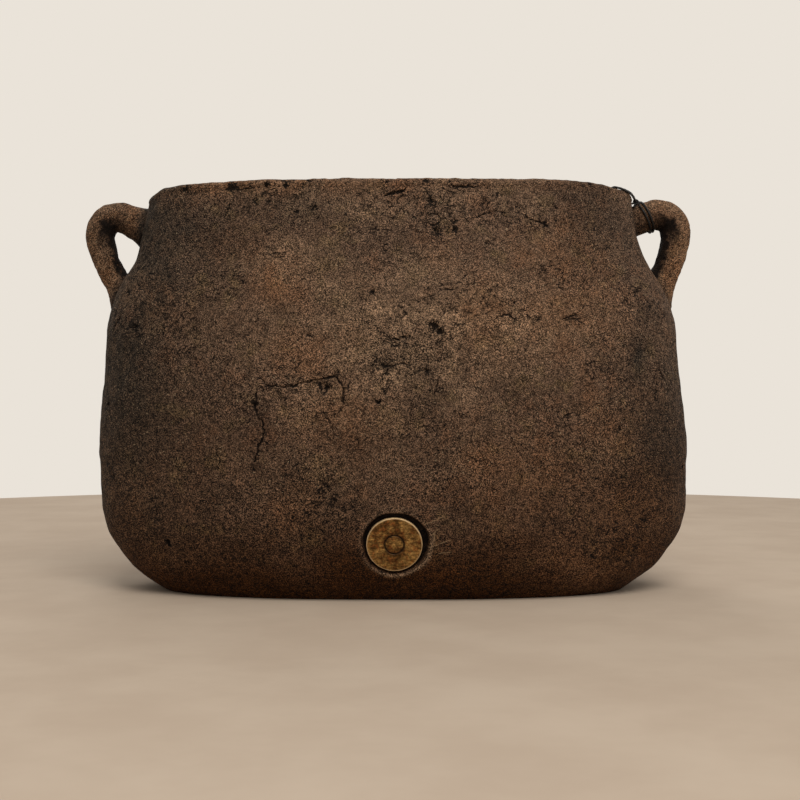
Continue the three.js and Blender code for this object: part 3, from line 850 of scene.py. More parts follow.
# Patches of the front that are finely crazed, lighter, redder and greyer: x, height,
# reach along and up, strength.
CRAZED_PATCHES = (
    (30, 250, 26, 14, 1), (62, 254, 26, 10, 0.9), (98, 248, 22, 9, 0.7), (-8, 262, 34, 8, 0.6),
    (20, 182, 26, 12, 0.8), (4, 152, 34, 11, 0.6), (-58, 143, 34, 10, 0.9),
    (-86, 110, 10, 26, 0.6), (72, 184, 22, 9, 0.8), (116, 186, 20, 9, 0.8),
    (172, 190, 16, 14, 0.6), (-178, 182, 16, 16, 0.6), (-40, 118, 18, 18, 0.5),
    (128, 148, 14, 12, 0.4), (-104, 262, 18, 10, 0.5),
)
# The two lighter patches at the lower corners, near height 22, are painted light bounced up from
# the floor.
LIGHT_PATCHES = (
    (-70, 223, 30, 14, 0.6), (-30, 208, 30, 14, 0.5), (28, 210, 40, 14, 0.55),
    (76, 198, 34, 18, 0.45), (60, 160, 44, 18, 0.45), (-30, 178, 56, 22, 0.4),
    (95, 232, 40, 14, 0.2), (0, 150, 80, 26, 0.3), (-165, 215, 14, 12, 0.3),
    (153, 22, 26, 14, 0.6), (-150, 22, 26, 14, 0.5), (20, 182, 74, 17, 1), (82, 182, 50, 17, 0.9),
    (4, 156, 42, 21, 1), (-30, 258, 50, 12, 0.5), (-40, 78, 34, 22, 0.35), (-95, 274, 70, 4, 0.7),
)
RED_PATCHES = (
    (-118, 272, 44, 7, 0.6), (-60, 272, 38, 6, 0.5), (-58, 160, 24, 18, 0.4),
    (-158, 198, 24, 20, 0.5), (-71, 208, 18, 15, 0.6), (62, 188, 20, 22, 0.5),
    (-34, 118, 28, 20, 0.4), (120, 190, 40, 26, 0.45), (90, 80, 34, 22, 0.45),
    (-110, 235, 40, 14, 0.25), (165, 60, 40, 30, 0.5), (132, 18, 40, 18, 0.8),
)
# The darker patches near the two ends are partly painted shade, where the ends turn away from the
# light, and partly darker clay.
DARK_PATCHES = (
    (-214, 120, 40, 90, 1), (-205, 60, 46, 50, 0.9), (150, 150, 20, 44, 0.45),
    (200, 120, 18, 80, 0.85), (-60, 268, 30, 8, 0.3), (-172, 246, 44, 40, 1),
    (-150, 196, 26, 26, 0.55), (-128, 146, 40, 34, 0.22), (146, 244, 38, 30, 0.6),
    (184, 90, 32, 66, 1), (-105, 62, 34, 14, 0.4), (160, 232, 20, 44, 0.35),
    (163, 160, 16, 27, 1), (174, 184, 10, 20, 0.5), (130, 94, 24, 16, 0.2),
    (170, 120, 14, 60, 0.3), (156, 76, 26, 26, 0.6), (-140, 238, 38, 28, 0.9),
)


def patches(points, rows):
    """How strongly each point lies in patches with blurred edges."""
    total = np.zeros(len(points))
    front = 0.25 + 0.75 * smoothstep(20, -20, points[:, 1])
    blur = points + 9 * np.stack([noise(points, 17, 91 + k) for k in range(3)], axis=1)
    for x, z, along, up, strength in rows:
        total = np.maximum(total, strength * bell((blur[:, 0], x, along), (blur[:, 2], z, up)))
    return total * front


def crazing(points, cracks):
    """Where the clay is finely crazed, from 0 to 1."""
    scattered = 0.75 * smoothstep(0.25, 0.8, rough(points, 34, 95, 2))
    crazed = np.maximum(scattered, patches(points, CRAZED_PATCHES))
    for width, _, line in cracks:
        k = in_box(points, line, 7)
        beside = 1 - smoothstep(2, 6, line_distance(points[k], line))
        crazed[k] = np.maximum(crazed[k], beside * min(1, width))
    return np.clip(crazed, 0, 1)


def colour_values(points, zone):
    """Where the clay is lighter, redder and darker; the darkening at the ends and towards the
    bottom is partly painted shade, and the inside gets a faint painted shade.
    """
    x, _, z = points.T
    inner = (zone >= INNER - 0.2).astype(float)
    light = 0.4 * smoothstep(0.05, 0.85, rough(points, 46, 81, 3))
    red = 0.45 * smoothstep(0.1, 0.9, rough(points, 58, 83, 3))
    gloom = 0.45 * smoothstep(0.15, 0.95, rough(points, 64, 85, 3))
    # The two ends are darker: partly painted shade where they turn away from the light, partly
    # darker clay.
    ends = x + 12 * noise(points, 36, 89)
    sooty = smoothstep(-96, -176, ends) * (0.6 + 0.4 * smoothstep(40, 130, z))
    sooty += 0.75 * smoothstep(140, 196, ends) * smoothstep(196, 150, z)
    sooty -= 0.3 * sooty * patches(points, [(-180, 200, 16, 24, 1.0)])
    gloom = np.maximum(np.maximum(gloom, sooty), patches(points, DARK_PATCHES))
    # Darker towards the bottom: partly painted shade under the curve of the belly, partly darker
    # clay.
    level = z + 9 * noise(points, 30, 87)
    low = 0.62 * (1 - smoothstep(8, 62, level)) + 0.38 * (1 - smoothstep(40, 170, level))
    low += 0.2 * patches(points, [(160, 66, 40, 30, 1.0), (92, 42, 26, 14, 0.8)])
    low -= 0.28 * patches(points, [(132, 18, 40, 18, 1.0)])
    lip = smoothstep(266, 272, z) * (1 - inner)
    return {
        "light": np.clip(np.maximum(light, patches(points, LIGHT_PATCHES)), 0, 1),
        "red": np.clip(np.maximum(red, patches(points, RED_PATCHES)) + 0.15 * lip, 0, 1),
        "gloom": np.clip(gloom, 0, 1),
        "low": np.clip(low, 0, 1) * (1 - inner),
        # A faint painted shade inside the pot.
        "soot": 0.25 * inner,
    }


def build_pot():
    cracks, pits = all_cracks(), all_pits()
    scratches = [crack_line(places(row), 700 + k) for k, row in enumerate(SCRATCHES)]
    run, share, faces = pot_grid()
    rest = surface(run, share)
    centre = np.array([rest[list(f)].mean(axis=0) for f in faces])
    near = near_marks(centre, cracks, pits, scratches, FINE_MARGIN)
    rel = centre - RECESS_ORIGIN
    r = np.hypot(rel[:, 0], rel @ RECESS_UP)
    near |= (np.abs(r - RECESS_RADIUS) < FINE_RECESS) & (centre[:, 1] < FRONT_SIDE)
    near &= np.array([len(f) == 4 for f in faces])
    mesh, run, share = refined(run, share, faces, near)
    points, normal = surface(run, share), surface_normal(run, share)
    zone = np.interp(run, RUN, ZONE)
    deep, split, gape, scar, hole = marks(points, normal, cracks, pits, scratches)
    calm = smoothstep(0, 9, points[:, 2]) + (zone >= INNER - 0.5)
    off = relief(points, zone) * np.clip(calm, 0, 1) - deep * (zone < INNER - 0.01)
    under = zone < OUTER - 0.001
    off[under] = -0.35 - 0.3 * np.abs(rough(points[under], 12, 61, 2))
    moved = points + off[:, None] * normal
    moved[:, 2] += worn_rim(points)
    moved, pressed, lip = recessed(moved)
    moved[:, 2] = np.maximum(moved[:, 2], 0)
    mesh.vertices.foreach_set("co", (moved * MM).ravel())
    values = colour_values(points, zone)
    values.update(split=split, gape=gape, scar=scar, hole=hole, crazed=crazing(points, cracks))
    # Painted shade in the recess; a painted highlight on the lit lower side of the raised lip round
    # it, with the darkening towards the bottom taken off there.
    values["soot"] = np.maximum(values["soot"], 0.9 * pressed)
    values["light"] = np.maximum(values["light"], lip)
    values["low"] *= 1 - np.clip(lip, 0, 1)
    return smooth_object("clay_pot", mesh, values)


pot = build_pot()


# ---- handles
ARM_RINGS, ARM_SIDES, ARM_SUNK, ARM_TOP = 112, 72, 4.5, 272.6
CARRIED_DOWN, CARRIED_IN = 12, 9  # how far the lower end runs on inside the wall


def outer_reach(points, side):
    """How far the smooth outside reaches to a side, at each point's depth and height."""
    reaches = outside(points[:, 2])
    share = np.maximum(0, 1 - np.abs(points[:, 1] / reaches[:, 2]) ** ROUNDNESS)
    return reaches[:, 0 if side < 0 else 1] * share ** (1 / ROUNDNESS)


def build_handle(name, knots, side, rises, spreads, calm, slim, bend, seed):
    """A rolled arm, smeared on to the wall at its roots; its ends are in the wall.
    rises and spreads are the height and width of the smears at the upper and lower
    root. calm smooths the arm near its upper root, slim takes clay off its outer
    side, and bend adds some inside its bend, at a share of its length."""
    drop, away = knots[-1]
    line = arm_line((*knots, (drop + CARRIED_DOWN, away - CARRIED_IN)), side, ARM_RINGS)
    angles = np.tile(circle(ARM_SIDES), ARM_RINGS)
    across = np.repeat(arm_across(line, side), ARM_SIDES, axis=0)
    length = arc_lengths(arm_line(knots, side, ARM_RINGS))[-1]
    t = np.repeat(arc_lengths(line) / length, ARM_SIDES)
    outer = np.cos(angles)
    out = outer[:, None] * across + np.sin(angles)[:, None] * FRONT
    radius = arm_radius(t)
    p = np.repeat(line, ARM_SIDES, axis=0) + radius[:, None] * out
    off = np.abs(p[:, 0]) - outer_reach(p, side)
    upper = t < 0.5
    rise, spread = np.where(upper, *rises), np.where(upper, *spreads)
    rise = rise * np.where(upper, 0.25 + 0.75 * smoothstep(0.35, -0.4, outer), 1)
    ragged = 1 + 0.2 * noise(p, 7, seed)
    grow = rise * (1 - np.clip(off / (spread * ragged), 0, 1)) ** 2
    still = 1 - calm * (t < 0.3) * smoothstep(14, 10, off)
    lumps = 0.3 + 0.024 * radius * np.cos(2 * angles + 5 * t + seed)
    lumps += 0.26 * rough(p, 15, seed + 1, 2) + 0.24 * rough(p, 5, seed + 2, 2)
    lumps += 0.16 * rough(p, 1.9, seed + 3, 2)
    lumps -= 0.4 * smoothstep(0.3, 0.5, rough(p * np.array((1.0, 1.0, 0.6)), 6, seed + 4, 2))
    lumps -= slim * smoothstep(-0.2, 0.8, outer) * smoothstep(0.2, 0.3, t)
    lumps += bend[0] * smoothstep(0.2, 1.0, -outer) * bell((t, bend[1], 0.12))
    p = p + (grow + lumps * still)[:, None] * out
    p[:, 0] = side * np.maximum(np.abs(p[:, 0]), outer_reach(p, side) - ARM_SUNK)
    p[:, 2] = np.minimum(p[:, 2], ARM_TOP)
    values = colour_values(p, np.ones(len(p)))
    # Painted shade on the inner side of the loop, a narrow dark band and a broader one at mid
    # length, and in the crease where the arm meets the wall.
    patchy = outer + 0.3 * rough(p, 4, seed + 6, 2)
    narrow_shade = 0.95 * smoothstep(-0.4, -0.72, patchy) * smoothstep(1.0, 0.88, t)
    narrow_shade *= 0.4 + 0.6 * smoothstep(0.12, 0.32, t)
    broad_shade = smoothstep(0.12, -0.32, patchy) * bell((t, 0.4, 0.2))
    crease_shade = 1 - smoothstep(0.0, 3.2, off)
    root_shade = 1 - smoothstep(0, 9, off)
    # Painted light on the outer side of the arm, as if lit; painted shade near its roots, beside
    # the wall.
    light = values["light"] + (0.35 * smoothstep(0.5, 0.7, t) + 0.25 * (side < 0))
    light = np.clip(light + 0.5 * smoothstep(-0.3, 0.6, outer), 0, 1)
    red = np.clip(values["red"] + 0.4 + 0.3 * smoothstep(0.5, 0.75, t), 0, 1)
    none = np.zeros(len(p))
    values.update(
        soot=np.clip(np.maximum(narrow_shade, broad_shade) + 0.5 * crease_shade, 0, 0.95),
        light=light * (1 - 0.5 * root_shade),
        red=red * (1 - 0.5 * root_shade),
        gloom=values["gloom"] * (0.4 + 0.5 * root_shade),
        crazed=0.7 * smoothstep(0.1, 0.7, rough(p, 12, seed + 5, 2)),
        split=none + FAR, gape=none + NO_CRACK, scar=none, hole=none,
    )
    return mesh_object(name, p, tube_faces(ARM_RINGS, ARM_SIDES), values)


handle_left = build_handle(
    "arm_left", LEFT_ARM, -1, rises=(5.5, 3.2), spreads=(17, 12),
    calm=0.0, slim=1.2, bend=(1.2, 0.38), seed=201,
)
handle_right = build_handle(
    "arm_right", RIGHT_ARM, 1, rises=(1.2, 3.0), spreads=(2.5, 11),
    calm=0.8, slim=0.0, bend=(0.6, 0.36), seed=301,
)


# ---- medallion
GROOVE_RADIUS, GROOVE_WIDTH, GROOVE_DEPTH = 6.2, 1.6, 0.4
COIN_BACK = -RECESS_DEPTH + SEAT_GAP + GLUE + SEAT_GAP
COIN_FACE = COIN_BACK + MEDALLION_THICKNESS
COIN_BEVEL, COIN_BEVEL_DROP, COIN_SIDES = 0.6, 0.45, 128


def build_medallion():
    """A worn disc with a bevelled edge and one ring cut into its face."""
    flat, side_top = MEDALLION_RADIUS - COIN_BEVEL, COIN_FACE - COIN_BEVEL_DROP
    radii = np.concatenate([
        np.linspace(0.4, GROOVE_RADIUS - 1.2, 9),
        np.linspace(GROOVE_RADIUS - 1.1, GROOVE_RADIUS + 1.1, 13),
        np.linspace(GROOVE_RADIUS + 1.4, flat, 22),
    ])
    groove = GROOVE_DEPTH * (1 - smoothstep(0.25, GROOVE_WIDTH / 2, np.abs(radii - GROOVE_RADIUS)))
    turn = np.array((0.15, 0.4, 0.7, 1.0)) * math.pi / 2
    down = np.array((0.3, 0.65, 1.0))
    r = [*radii, *(flat + COIN_BEVEL * np.sin(turn)), *[MEDALLION_RADIUS] * len(down)]
    out = [
        *(COIN_FACE - groove),
        *(COIN_FACE - COIN_BEVEL_DROP * (1 - np.cos(turn))),
        *(side_top + (COIN_BACK - side_top) * down),
    ]
    faces = tube_faces(len(r), COIN_SIDES)
    angle = np.tile(circle(COIN_SIDES), len(r))
    r, out = np.repeat(r, COIN_SIDES), np.repeat(out, COIN_SIDES)
    level = np.stack([r * np.cos(angle), r * np.sin(angle), np.zeros(len(r))], axis=1)
    wear = 0.10 * rough(level, 9, 401, 2) + 0.05 * rough(level, 2.2, 402, 2)
    wear -= 0.13 * smoothstep(0.45, 0.7, rough(level, 1.9, 403, 2))
    out = out + np.where(r < MEDALLION_RADIUS - 0.02, wear, 0)
    r = r + np.where(r > flat, 0.12 * noise(level, 3, 404), 0)
    points = (
        RECESS_ORIGIN
        + (r * np.cos(angle) + MEDALLION_SHIFT)[:, None] * np.array((1.0, 0.0, 0.0))
        + (r * np.sin(angle) - MEDALLION_DROP)[:, None] * RECESS_UP
        + out[:, None] * RECESS_OUT
    )
    values = {
        "groove": bell((r, GROOVE_RADIUS, 0.95)),
        # The bevel, where a painted highlight is laid.
        "edge": smoothstep(flat - 0.1, flat + 0.2, r),
        "worn": rough(level, 7, 405, 3),
    }
    return mesh_object("brass_disc", points, faces, values)


medallion = build_medallion()
glue = bpy.data.objects["medallion_adhesive"]


# ---- tag
TAG_HALF, TAG_HEIGHT, TAG_THICKNESS, TAG_CORNER = 14.0, 52.0, 0.8, 3.0
TAG_HOLE, TAG_TOP, TAG_RING = 3.0, 7.0, 6.2  # the top's distance from the hole's middle
TAG_BOTTOM = TAG_TOP - TAG_HEIGHT
TAG_PLACE, TAG_TURN = np.array((148.4, -26.9, 204.0)), math.radians(-40.5)
TAG_HOLE_LEVEL = CORD_RADIUS + 0.6 - TAG_HOLE


def tag_outline(angle):
    """Distance from the hole's middle to the edge of the card along each angle."""
    low, high = np.zeros(len(angle)), np.full(len(angle), 60.0)
    for _ in range(40):
        middle = (low + high) / 2
        x, z = np.abs(middle * np.cos(angle)), middle * np.sin(angle)
        over = np.maximum(z - (TAG_TOP - TAG_CORNER), (TAG_BOTTOM + TAG_CORNER) - z)
        wide = x - (TAG_HALF - TAG_CORNER)
        on_card = np.hypot(np.maximum(over, 0), np.maximum(wide, 0)) <= TAG_CORNER
        low, high = np.where(on_card, middle, low), np.where(on_card, high, middle)
    return low


def build_tag():
    """A blank card with a punched hole, a pressed ring round it and a slight curl."""
    corners = np.arctan2((TAG_BOTTOM, TAG_TOP), TAG_HALF)
    stops = sorted(np.concatenate([corners, math.pi - corners]) % (2 * math.pi))
    stops.append(stops[0] + 2 * math.pi)
    spans = [np.linspace(a, b, 42, endpoint=False) for a, b in zip(stops[:-1], stops[1:])]
    angle = np.concatenate(spans)
    sides, reach = len(angle), tag_outline(angle)
    shares = np.concatenate([[0, 0.03], np.linspace(0.08, 0.97, 20), [1.0]])
    rows = []
    for face, outwards in ((1, shares), (-1, shares[::-1])):
        for share in outwards:
            r = TAG_HOLE + share * (reach - TAG_HOLE)
            rim = min(share, 1 - share) < 0.01
            thick = TAG_THICKNESS / 2 * (0.55 if rim else 1.0)
            ring = 0.16 * (1 - smoothstep(TAG_RING - 0.5, TAG_RING, r)) * (0 if rim else 1)
            edge = (r * np.cos(angle), face * (thick + ring), r * np.sin(angle))
            rows.append(np.stack(edge, axis=1))
    flat = np.vstack(rows)
    x, y, z = flat.T
    distance = np.hypot(x, z)
    curl = 0.7 * (x / TAG_HALF) ** 2 + 1.1 * smoothstep(-12, -46, z)
    even = flat * np.array((1.0, 0.0, 1.0))
    y = y + (curl * 0.6 + 0.22 * rough(even, 14, 501, 2) * smoothstep(5, 12, distance))
    c, s = math.cos(TAG_TURN), math.sin(TAG_TURN)
    turned = np.stack([c * x - s * y, s * x + c * y, z + TAG_HOLE_LEVEL], axis=1)
    faces = []
    for k in range(len(rows)):
        quads = band(k * sides, (k + 1) % len(rows) * sides, sides)
        faces += [(a, d, c, b) for a, b, c, d in quads]
    values = {
        "ring": 1 - smoothstep(TAG_RING - 0.4, TAG_RING, distance),
        "rubbed": smoothstep(0.9, 1.0, np.tile(np.repeat(shares, sides), 2)),
    }
    return mesh_object("card_tag", turned + TAG_PLACE, faces, values)


tag = build_tag()


# ---- materials
class Nodes:
    """Adds nodes to a tree. Inputs may be numbers, colours or other nodes' outputs."""

    def __init__(self, tree):
        self.tree = tree

    def fill(self, node, inputs):
        for key, value in inputs.items():
            if isinstance(value, bpy.types.NodeSocket):
                self.tree.links.new(value, node.inputs[key])
            else:
                node.inputs[key].default_value = value

    def node(self, kind, inputs, **settings):
        made = self.tree.nodes.new(kind)
        for key, value in settings.items():
            setattr(made, key, value)
        self.fill(made, inputs)
        return made

    def add(self, kind, inputs, output=0, **settings):
        """Adds a node and hands back one of its outputs."""
        return self.node(kind, inputs, **settings).outputs[output]

    def math(self, operation, *values):
        """Joins values by an operation, from the left."""
        made = values[0]
        for value in values[1:]:
            made = self.add("ShaderNodeMath", {0: made, 1: value}, operation=operation)
        return made

    def times(self, *values):
        return self.math("MULTIPLY", *values)

    def plus(self, *values):
        return self.math("ADD", *values)

    def less(self, *values):
        return self.math("SUBTRACT", *values)

    def most(self, *values):
        return self.math("MAXIMUM", *values)

    def unsigned(self, value):
        return self.math("ABSOLUTE", value, 0.0)


class Shader(Nodes):
    """A material with a principled shader. Places are in millimetres. Its colour is
    built up in layers, by paint and shade."""

    def __init__(self, name):
        self.material = bpy.data.materials.new(name)
        self.material.use_nodes = True
        super().__init__(self.material.node_tree)
        place = self.add("ShaderNodeTexCoord", {}, "Object")
        scaled = {0: place, "Scale": 1 / MM}
        self.place = self.add("ShaderNodeVectorMath", scaled, operation="SCALE")

    def value(self, name):
        """A value that the mesh carries at its vertices."""
        return self.add("ShaderNodeAttribute", {}, "Fac", attribute_name=name)

    def noise(self, size, detail=3.0, roughness=0.55, place=None, swirl=0.0, output="Fac"):
        inputs = {
            "Vector": place or self.place, "Scale": 1 / size, "Detail": detail,
            "Roughness": roughness, "Distortion": swirl,
        }
        return self.add("ShaderNodeTexNoise", inputs, output)

    def stretched(self, *factors):
        inputs = {0: self.place, 1: factors}
        return self.add("ShaderNodeVectorMath", inputs, operation="MULTIPLY")

    def warped(self, size, reach, stretch):
        """Places stretched, then moved by up to about reach in swirls of a size."""
        swirls = self.noise(size, 2, 0.55, output="Color")
        inputs = {0: swirls, 1: (2 * reach,) * 3, 2: self.stretched(*stretch)}
        return self.add("ShaderNodeVectorMath", inputs, operation="MULTIPLY_ADD")

    def cell_edge(self, size, place):
        """Distance in millimetres to the nearest border between cells."""
        inputs = {"Vector": place, "Scale": 1 / size}
        edge = self.add("ShaderNodeTexVoronoi", inputs, "Distance", feature="DISTANCE_TO_EDGE")
        return self.times(edge, size)

    def curls(self, size, detail, swirl):
        """Fine lines: 1 where a swirled noise crosses its middle, and 0 beside that."""
        away = self.unsigned(self.less(self.noise(size, detail, 0.6, swirl=swirl), 0.5))
        return self.span(away, 0.0, 0.07, 1.0, 0.0)

    def span(self, value, low, high, start=0.0, end=1.0):
        """Carries low..high to start..end, kept inside it."""
        inputs = dict(enumerate((value, low, high, start, end)))
        return self.add("ShaderNodeMapRange", inputs, interpolation_type="SMOOTHSTEP")

    def mix(self, share, a, b, blend="MIX"):
        inputs = {0: share, 6: a, 7: b}
        return self.add("ShaderNodeMix", inputs, 2, data_type="RGBA", blend_type=blend)

    def paint(self, share, *colour):
        """Lays a colour over what there is, as thickly as its share says."""
        self.colour = self.mix(share, self.colour, linear(*colour))

    def shade(self, tone):
        """Multiplies the colour by a tone."""
        grey = self.add("ShaderNodeCombineColor", {0: tone, 1: tone, 2: tone})
        self.colour = self.mix(1.0, self.colour, grey, "MULTIPLY")

    def bump(self, height, strength, distance, under=None):
        inputs = {"Strength": strength, "Distance": distance, "Height": height}
        if under:
            inputs["Normal"] = under
        return self.add("ShaderNodeBump", inputs, "Normal")

    def done(self, inputs):
        """Wires up the surface and hands back the material."""
        surface_node = self.tree.nodes["Principled BSDF"]
        self.fill(surface_node, {"Base Color": self.colour, **inputs})
        return self.material


def clay_material():
    s = Shader("dark_clay")
    cloud, blotch, hue = s.noise(48, 3, 0.6), s.noise(11, 4, 0.62), s.noise(17, 3, 0.6)
    fine, grain, dust = s.noise(3.4, 3, 0.65), s.noise(1.15, 1.2, 0.6), s.noise(0.68, 0, 0.5)
    low, gloom, split, hole = (s.value(name) for name in ("low", "gloom", "split", "hole"))
    s.colour = s.mix(s.span(cloud, 0.36, 0.66), linear(85, 66, 52), linear(99, 78, 62))
    s.paint(s.span(hue, 0.52, 0.7, 0, 0.5), 104, 86, 58)
    s.paint(s.span(hue, 0.48, 0.3, 0, 0.4), 108, 76, 54)
    # Lighter clay; at the lower corners, the recess's lip and the outer side of the handles this is
    # painted light.
    s.paint(s.times(s.value("light"), s.span(blotch, 0.36, 0.6, 0.55, 1.0)), 134, 109, 86)
    s.paint(s.times(s.value("red"), s.span(blotch, 0.62, 0.36, 0.5, 0.95)), 128, 90, 61)
    # Dark patches; near the two ends and the handles' roots they are partly painted shade.
    s.paint(s.times(gloom, s.span(blotch, 0.3, 0.6, 0.7, 1.0)), 43, 36, 29)
    # Darker towards the bottom: partly painted shade.
    s.paint(s.times(low, 0.95), 50, 25, 3)
    dark_curls = s.times(s.curls(3.2, 2.5, 1.6), s.span(fine, 0.42, 0.56))
    pale_curls = s.times(s.curls(2.2, 2, 2.4), s.span(fine, 0.58, 0.44))
    tone = s.times(
        s.span(blotch, 0.3, 0.7, 0.94, 1.06),
        s.span(fine, 0.32, 0.68, 0.9, 1.1),
        s.span(grain, 0.36, 0.64, 0.8, 1.2),
        s.span(dust, 0.3, 0.7, 0.38, 1.62),
        s.span(dark_curls, 0.0, 1.0, 1.0, 0.45),
        s.span(pale_curls, 0.0, 1.0, 1.0, 1.7),
        s.span(s.curls(1.8, 2, 3.0), 0.0, 1.0, 1.07, 0.55),
        s.span(s.curls(1.6, 2, 3.0), 0.0, 1.0, 0.93, 1.7),
    )
    coarse = s.span(s.noise(40, 2, 0.5), 0.36, 0.62, 0.9, 1.2)
    coarse = s.plus(coarse, s.times(low, 0.75), s.times(gloom, 0.8))
    s.shade(s.plus(s.times(s.less(tone, 1.0), coarse), 0.93))

    # Cracks, crazing, pits and scratches, with ragged edges.
    ragged = s.less(s.plus(s.noise(1.6, 2, 0.6), s.noise(3.6, 1, 0.5)), 1.0)
    away = s.unsigned(s.plus(split, s.times(ragged, 0.9)))
    whole = s.span(s.noise(3.2, 2, 0.6), 0.37, 0.48, 0.35, 1.0)
    cracks = s.times(s.span(s.less(s.value("gape"), away), -0.2, 0.1), whole)
    spots = s.warped(5.0, 1.7, (0.52, 0.52, 1.35))
    crazed = s.span(s.value("crazed"), 0.1, 0.6)
    broken = s.times(s.span(s.noise(5.0, 2, 0.6), 0.51, 0.56), crazed)
    fissures = s.times(s.span(s.cell_edge(6.6, spots), 0.1, 0.42, 1.0, 0.0), broken)
    broken = s.times(s.span(s.noise(3.4, 2, 0.6), 0.57, 0.62), crazed)
    twigs = s.times(s.span(s.cell_edge(3.6, spots), 0.08, 0.36, 0.9, 0.0), broken)
    dashes = s.times(s.most(fissures, twigs), s.span(s.noise(1.5, 1, 0.5), 0.34, 0.48, 0.45, 1.0))
    hollow = s.plus(hole, s.times(ragged, 3.2))
    hollow = s.times(s.span(hollow, 0.52, 0.66), s.span(hole, 0.15, 0.5))
    cuts = s.most(cracks, hollow, dashes)
    scars = s.times(s.value("scar"), s.span(s.unsigned(split), 0.15, 0.5, 1.0, 0.0))
    s.paint(s.times(scars, 0.7), 150, 124, 94)
    specks = s.times(s.span(s.noise(1.0, 0, 0.5), 0.79, 0.82, 0, 0.8), s.span(low, 0.5, 0.2))
    s.paint(specks, 176, 154, 124)
    # Painted shade: inside the handles' loops, in the creases at their roots, in the recess, and
    # faintly inside the pot.
    s.paint(s.value("soot"), 9, 6, 5)
    s.paint(s.times(cuts, 0.95), 10, 6, 4)
    height = s.less(s.times(grain, 0.8), s.times(cuts, 1.2), s.times(dark_curls, 0.3))
    return s.done({
        "Roughness": s.span(fine, 0.3, 0.7, 0.74, 0.94),
        "Diffuse Roughness": 0.6,
        "Specular IOR Level": 0.12,
        "Normal": s.bump(height, 0.9, 0.0009, s.bump(fine, 0.6, 0.0012)),
    })


def brass_material():
    s = Shader("aged_brass")
    cloud, mottle, fleck = s.noise(6, 3, 0.6), s.noise(1.7, 3, 0.65), s.noise(0.9, 1, 0.5)
    brushed = s.noise(1.0, 3, 0.65, s.stretched(0.2, 0.6, 1.2))
    edge = s.value("edge")
    patina = s.plus(s.times(s.value("worn"), 0.12), s.span(cloud, 0.38, 0.62))
    s.colour = s.mix(patina, linear(98, 68, 34), linear(156, 122, 70))
    s.paint(s.span(s.noise(2.6, 3, 0.6), 0.48, 0.64, 0.0, 0.7), 138, 84, 42)
    s.shade(s.times(
        s.span(mottle, 0.36, 0.64, 0.6, 1.3),
        s.span(brushed, 0.36, 0.64, 0.6, 1.36),
        s.span(fleck, 0.34, 0.66, 0.8, 1.2),
    ))
    s.paint(s.times(s.value("groove"), 0.92), 20, 13, 8)
    # A pale, less metallic line along the bevel: a painted highlight.
    s.paint(s.times(edge, 0.9), 216, 184, 138)
    return s.done({
        "Metallic": s.span(edge, 0.0, 1.0, 0.85, 0.35),
        "Roughness": s.span(brushed, 0.3, 0.7, 0.36, 0.6),
        "Normal": s.bump(brushed, 0.4, 0.0002, s.bump(mottle, 0.3, 0.0003)),
    })


def cord_material():
    s = Shader("waxed_cord")
    fibre, wax = s.noise(0.35, 3, 0.7), s.noise(2.4, 2, 0.5)
    s.colour = s.mix(s.span(wax, 0.35, 0.7), linear(12, 10, 9), linear(25, 21, 19))
    s.paint(s.span(fibre, 0.6, 0.78, 0, 0.5), 52, 45, 38)
    return s.done({
        "Specular IOR Level": 0.25,
        "Roughness": s.span(wax, 0.3, 0.7, 0.42, 0.66),
        "Normal": s.bump(fibre, 0.5, 0.0002),
    })


def card_material():
    s = Shader("tag_card")
    cloud, fleck = s.noise(9, 3, 0.6), s.noise(0.7, 2, 0.6)
    fibre = s.noise(0.9, 3, 0.7, s.stretched(1, 1, 0.28))
    s.colour = s.mix(s.span(cloud, 0.3, 0.7), linear(166, 132, 92), linear(183, 149, 108))
    s.paint(s.span(fibre, 0.3, 0.75, 0, 0.35), 140, 106, 70)
    s.paint(s.span(fleck, 0.68, 0.76, 0, 0.6), 108, 78, 50)
    s.paint(s.times(s.value("ring"), 0.35), 198, 166, 124)
    s.paint(s.times(s.value("rubbed"), 0.4), 206, 178, 140)
    return s.done({
        "Roughness": s.span(fibre, 0.3, 0.7, 0.78, 0.93),
        "Normal": s.bump(fibre, 0.35, 0.0003),
    })


def glue_material():
    s = Shader("set_adhesive")
    cloud, fine = s.noise(3, 3, 0.6), s.noise(0.8, 2, 0.5)
    s.colour = s.mix(s.span(cloud, 0.35, 0.7), linear(120, 104, 78), linear(158, 142, 112))
    return s.done({
        "Roughness": s.span(cloud, 0.3, 0.7, 0.32, 0.55),
        "Normal": s.bump(fine, 0.4, 0.0003),
    })


for things, material in (
    ((pot, handle_left, handle_right), clay_material()),
    ((tag_cord, hitch, knot), cord_material()),
    ((medallion,), brass_material()),
    ((tag,), card_material()),
):
    for thing in things:
        thing.data.materials.clear()
        thing.data.materials.append(material)
glue.material_slots[0].material = glue_material()


# ---- stage and light
FLOOR_RADIUS, WORLD_FILL = 0.97, 0.37


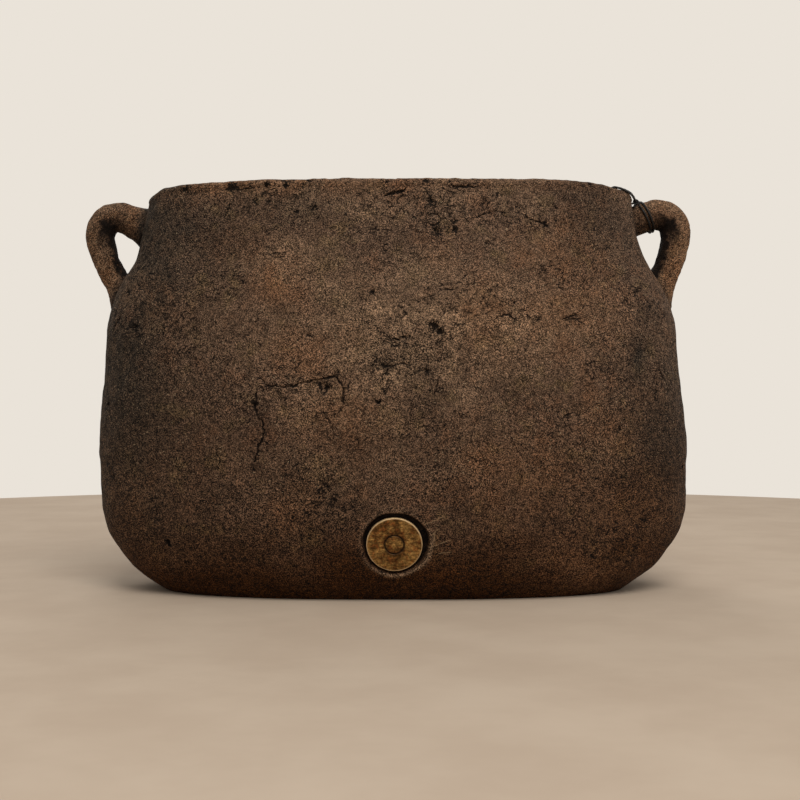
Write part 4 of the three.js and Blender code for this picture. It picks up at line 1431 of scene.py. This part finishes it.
def build_floor():
    """A plain disc, wide enough to fill the view below the pot."""
    work = bmesh.new()
    bmesh.ops.create_circle(work, cap_ends=True, segments=256, radius=FLOOR_RADIUS)
    mesh = bpy.data.meshes.new("floor")
    work.to_mesh(mesh)
    work.free()
    s = Shader("floor_pale")
    tone = s.span(s.noise(90, 4, 0.6), 0.3, 0.7)
    s.colour = s.mix(tone, linear(191, 173, 154), linear(199, 182, 163))
    mesh.materials.append(s.done({"Roughness": 0.9, "Specular IOR Level": 0.1}))
    return linked("floor", mesh)


floor = build_floor()


def build_world():
    """Seen directly, or mirrored, the surroundings are a warm white wall."""
    world = bpy.data.worlds.new("studio")
    bpy.context.scene.world = world
    world.use_nodes = True
    world.node_tree.nodes.clear()
    n = Nodes(world.node_tree)
    path = n.node("ShaderNodeLightPath", {}).outputs
    kinds = ("Is Camera Ray", "Is Glossy Ray", "Is Transmission Ray")
    fill = {"Color": (1.0, 0.97, 0.93, 1.0), "Strength": WORLD_FILL}
    wall = {"Color": linear(234, 227, 217), "Strength": 1.0}
    inputs = {
        0: n.most(*(path[kind] for kind in kinds)),
        1: n.add("ShaderNodeBackground", fill),
        2: n.add("ShaderNodeBackground", wall),
    }
    n.node("ShaderNodeOutputWorld", {0: n.add("ShaderNodeMixShader", inputs)})


def area_lamp(name, place, aim, size, power, colour):
    data = bpy.data.lights.new(name, "AREA")
    data.shape, data.size, data.energy, data.color = "SQUARE", size, power, colour
    lamp = linked(name, data)
    lamp.location = place
    direction = Vector(aim) - Vector(place)
    lamp.rotation_euler = direction.to_track_quat("-Z", "Y").to_euler()


build_world()
area_lamp("key", (0.3, -1.45, 1.8), (0, 0, 0.12), 1.2, 29, (1.0, 0.96, 0.91))
area_lamp("side", (1.9, -0.4, 1.1), (0, 0, 0.12), 1.2, 3.4, (1.0, 0.97, 0.94))
area_lamp("back", (-0.5, 1.8, 1.6), (0, 0, 0.15), 1.3, 12, (1.0, 0.97, 0.94))
bpy.context.scene.view_settings.view_transform = "Standard"


# ---- the new objects joined to one body, and the imported parts they replace hidden
for thing in (pot, handle_left, handle_right, medallion, tag, tag_cord, hitch, knot):
    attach(thing, "root")
for thing, node, slot in (
    (pot, "pot_body", "clay"),
    (handle_left, "handle_left", "clay"),
    (handle_right, "handle_right", "clay"),
    (medallion, "medallion", "aged_brass"),
    (tag, "hang_tag", "tag_card"),
    (tag_cord, "tag_cord", "waxed_cord"),
    (hitch, "cord_hitch", "waxed_cord"),
    (knot, "cord_knot", "waxed_cord"),
):
    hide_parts(node)
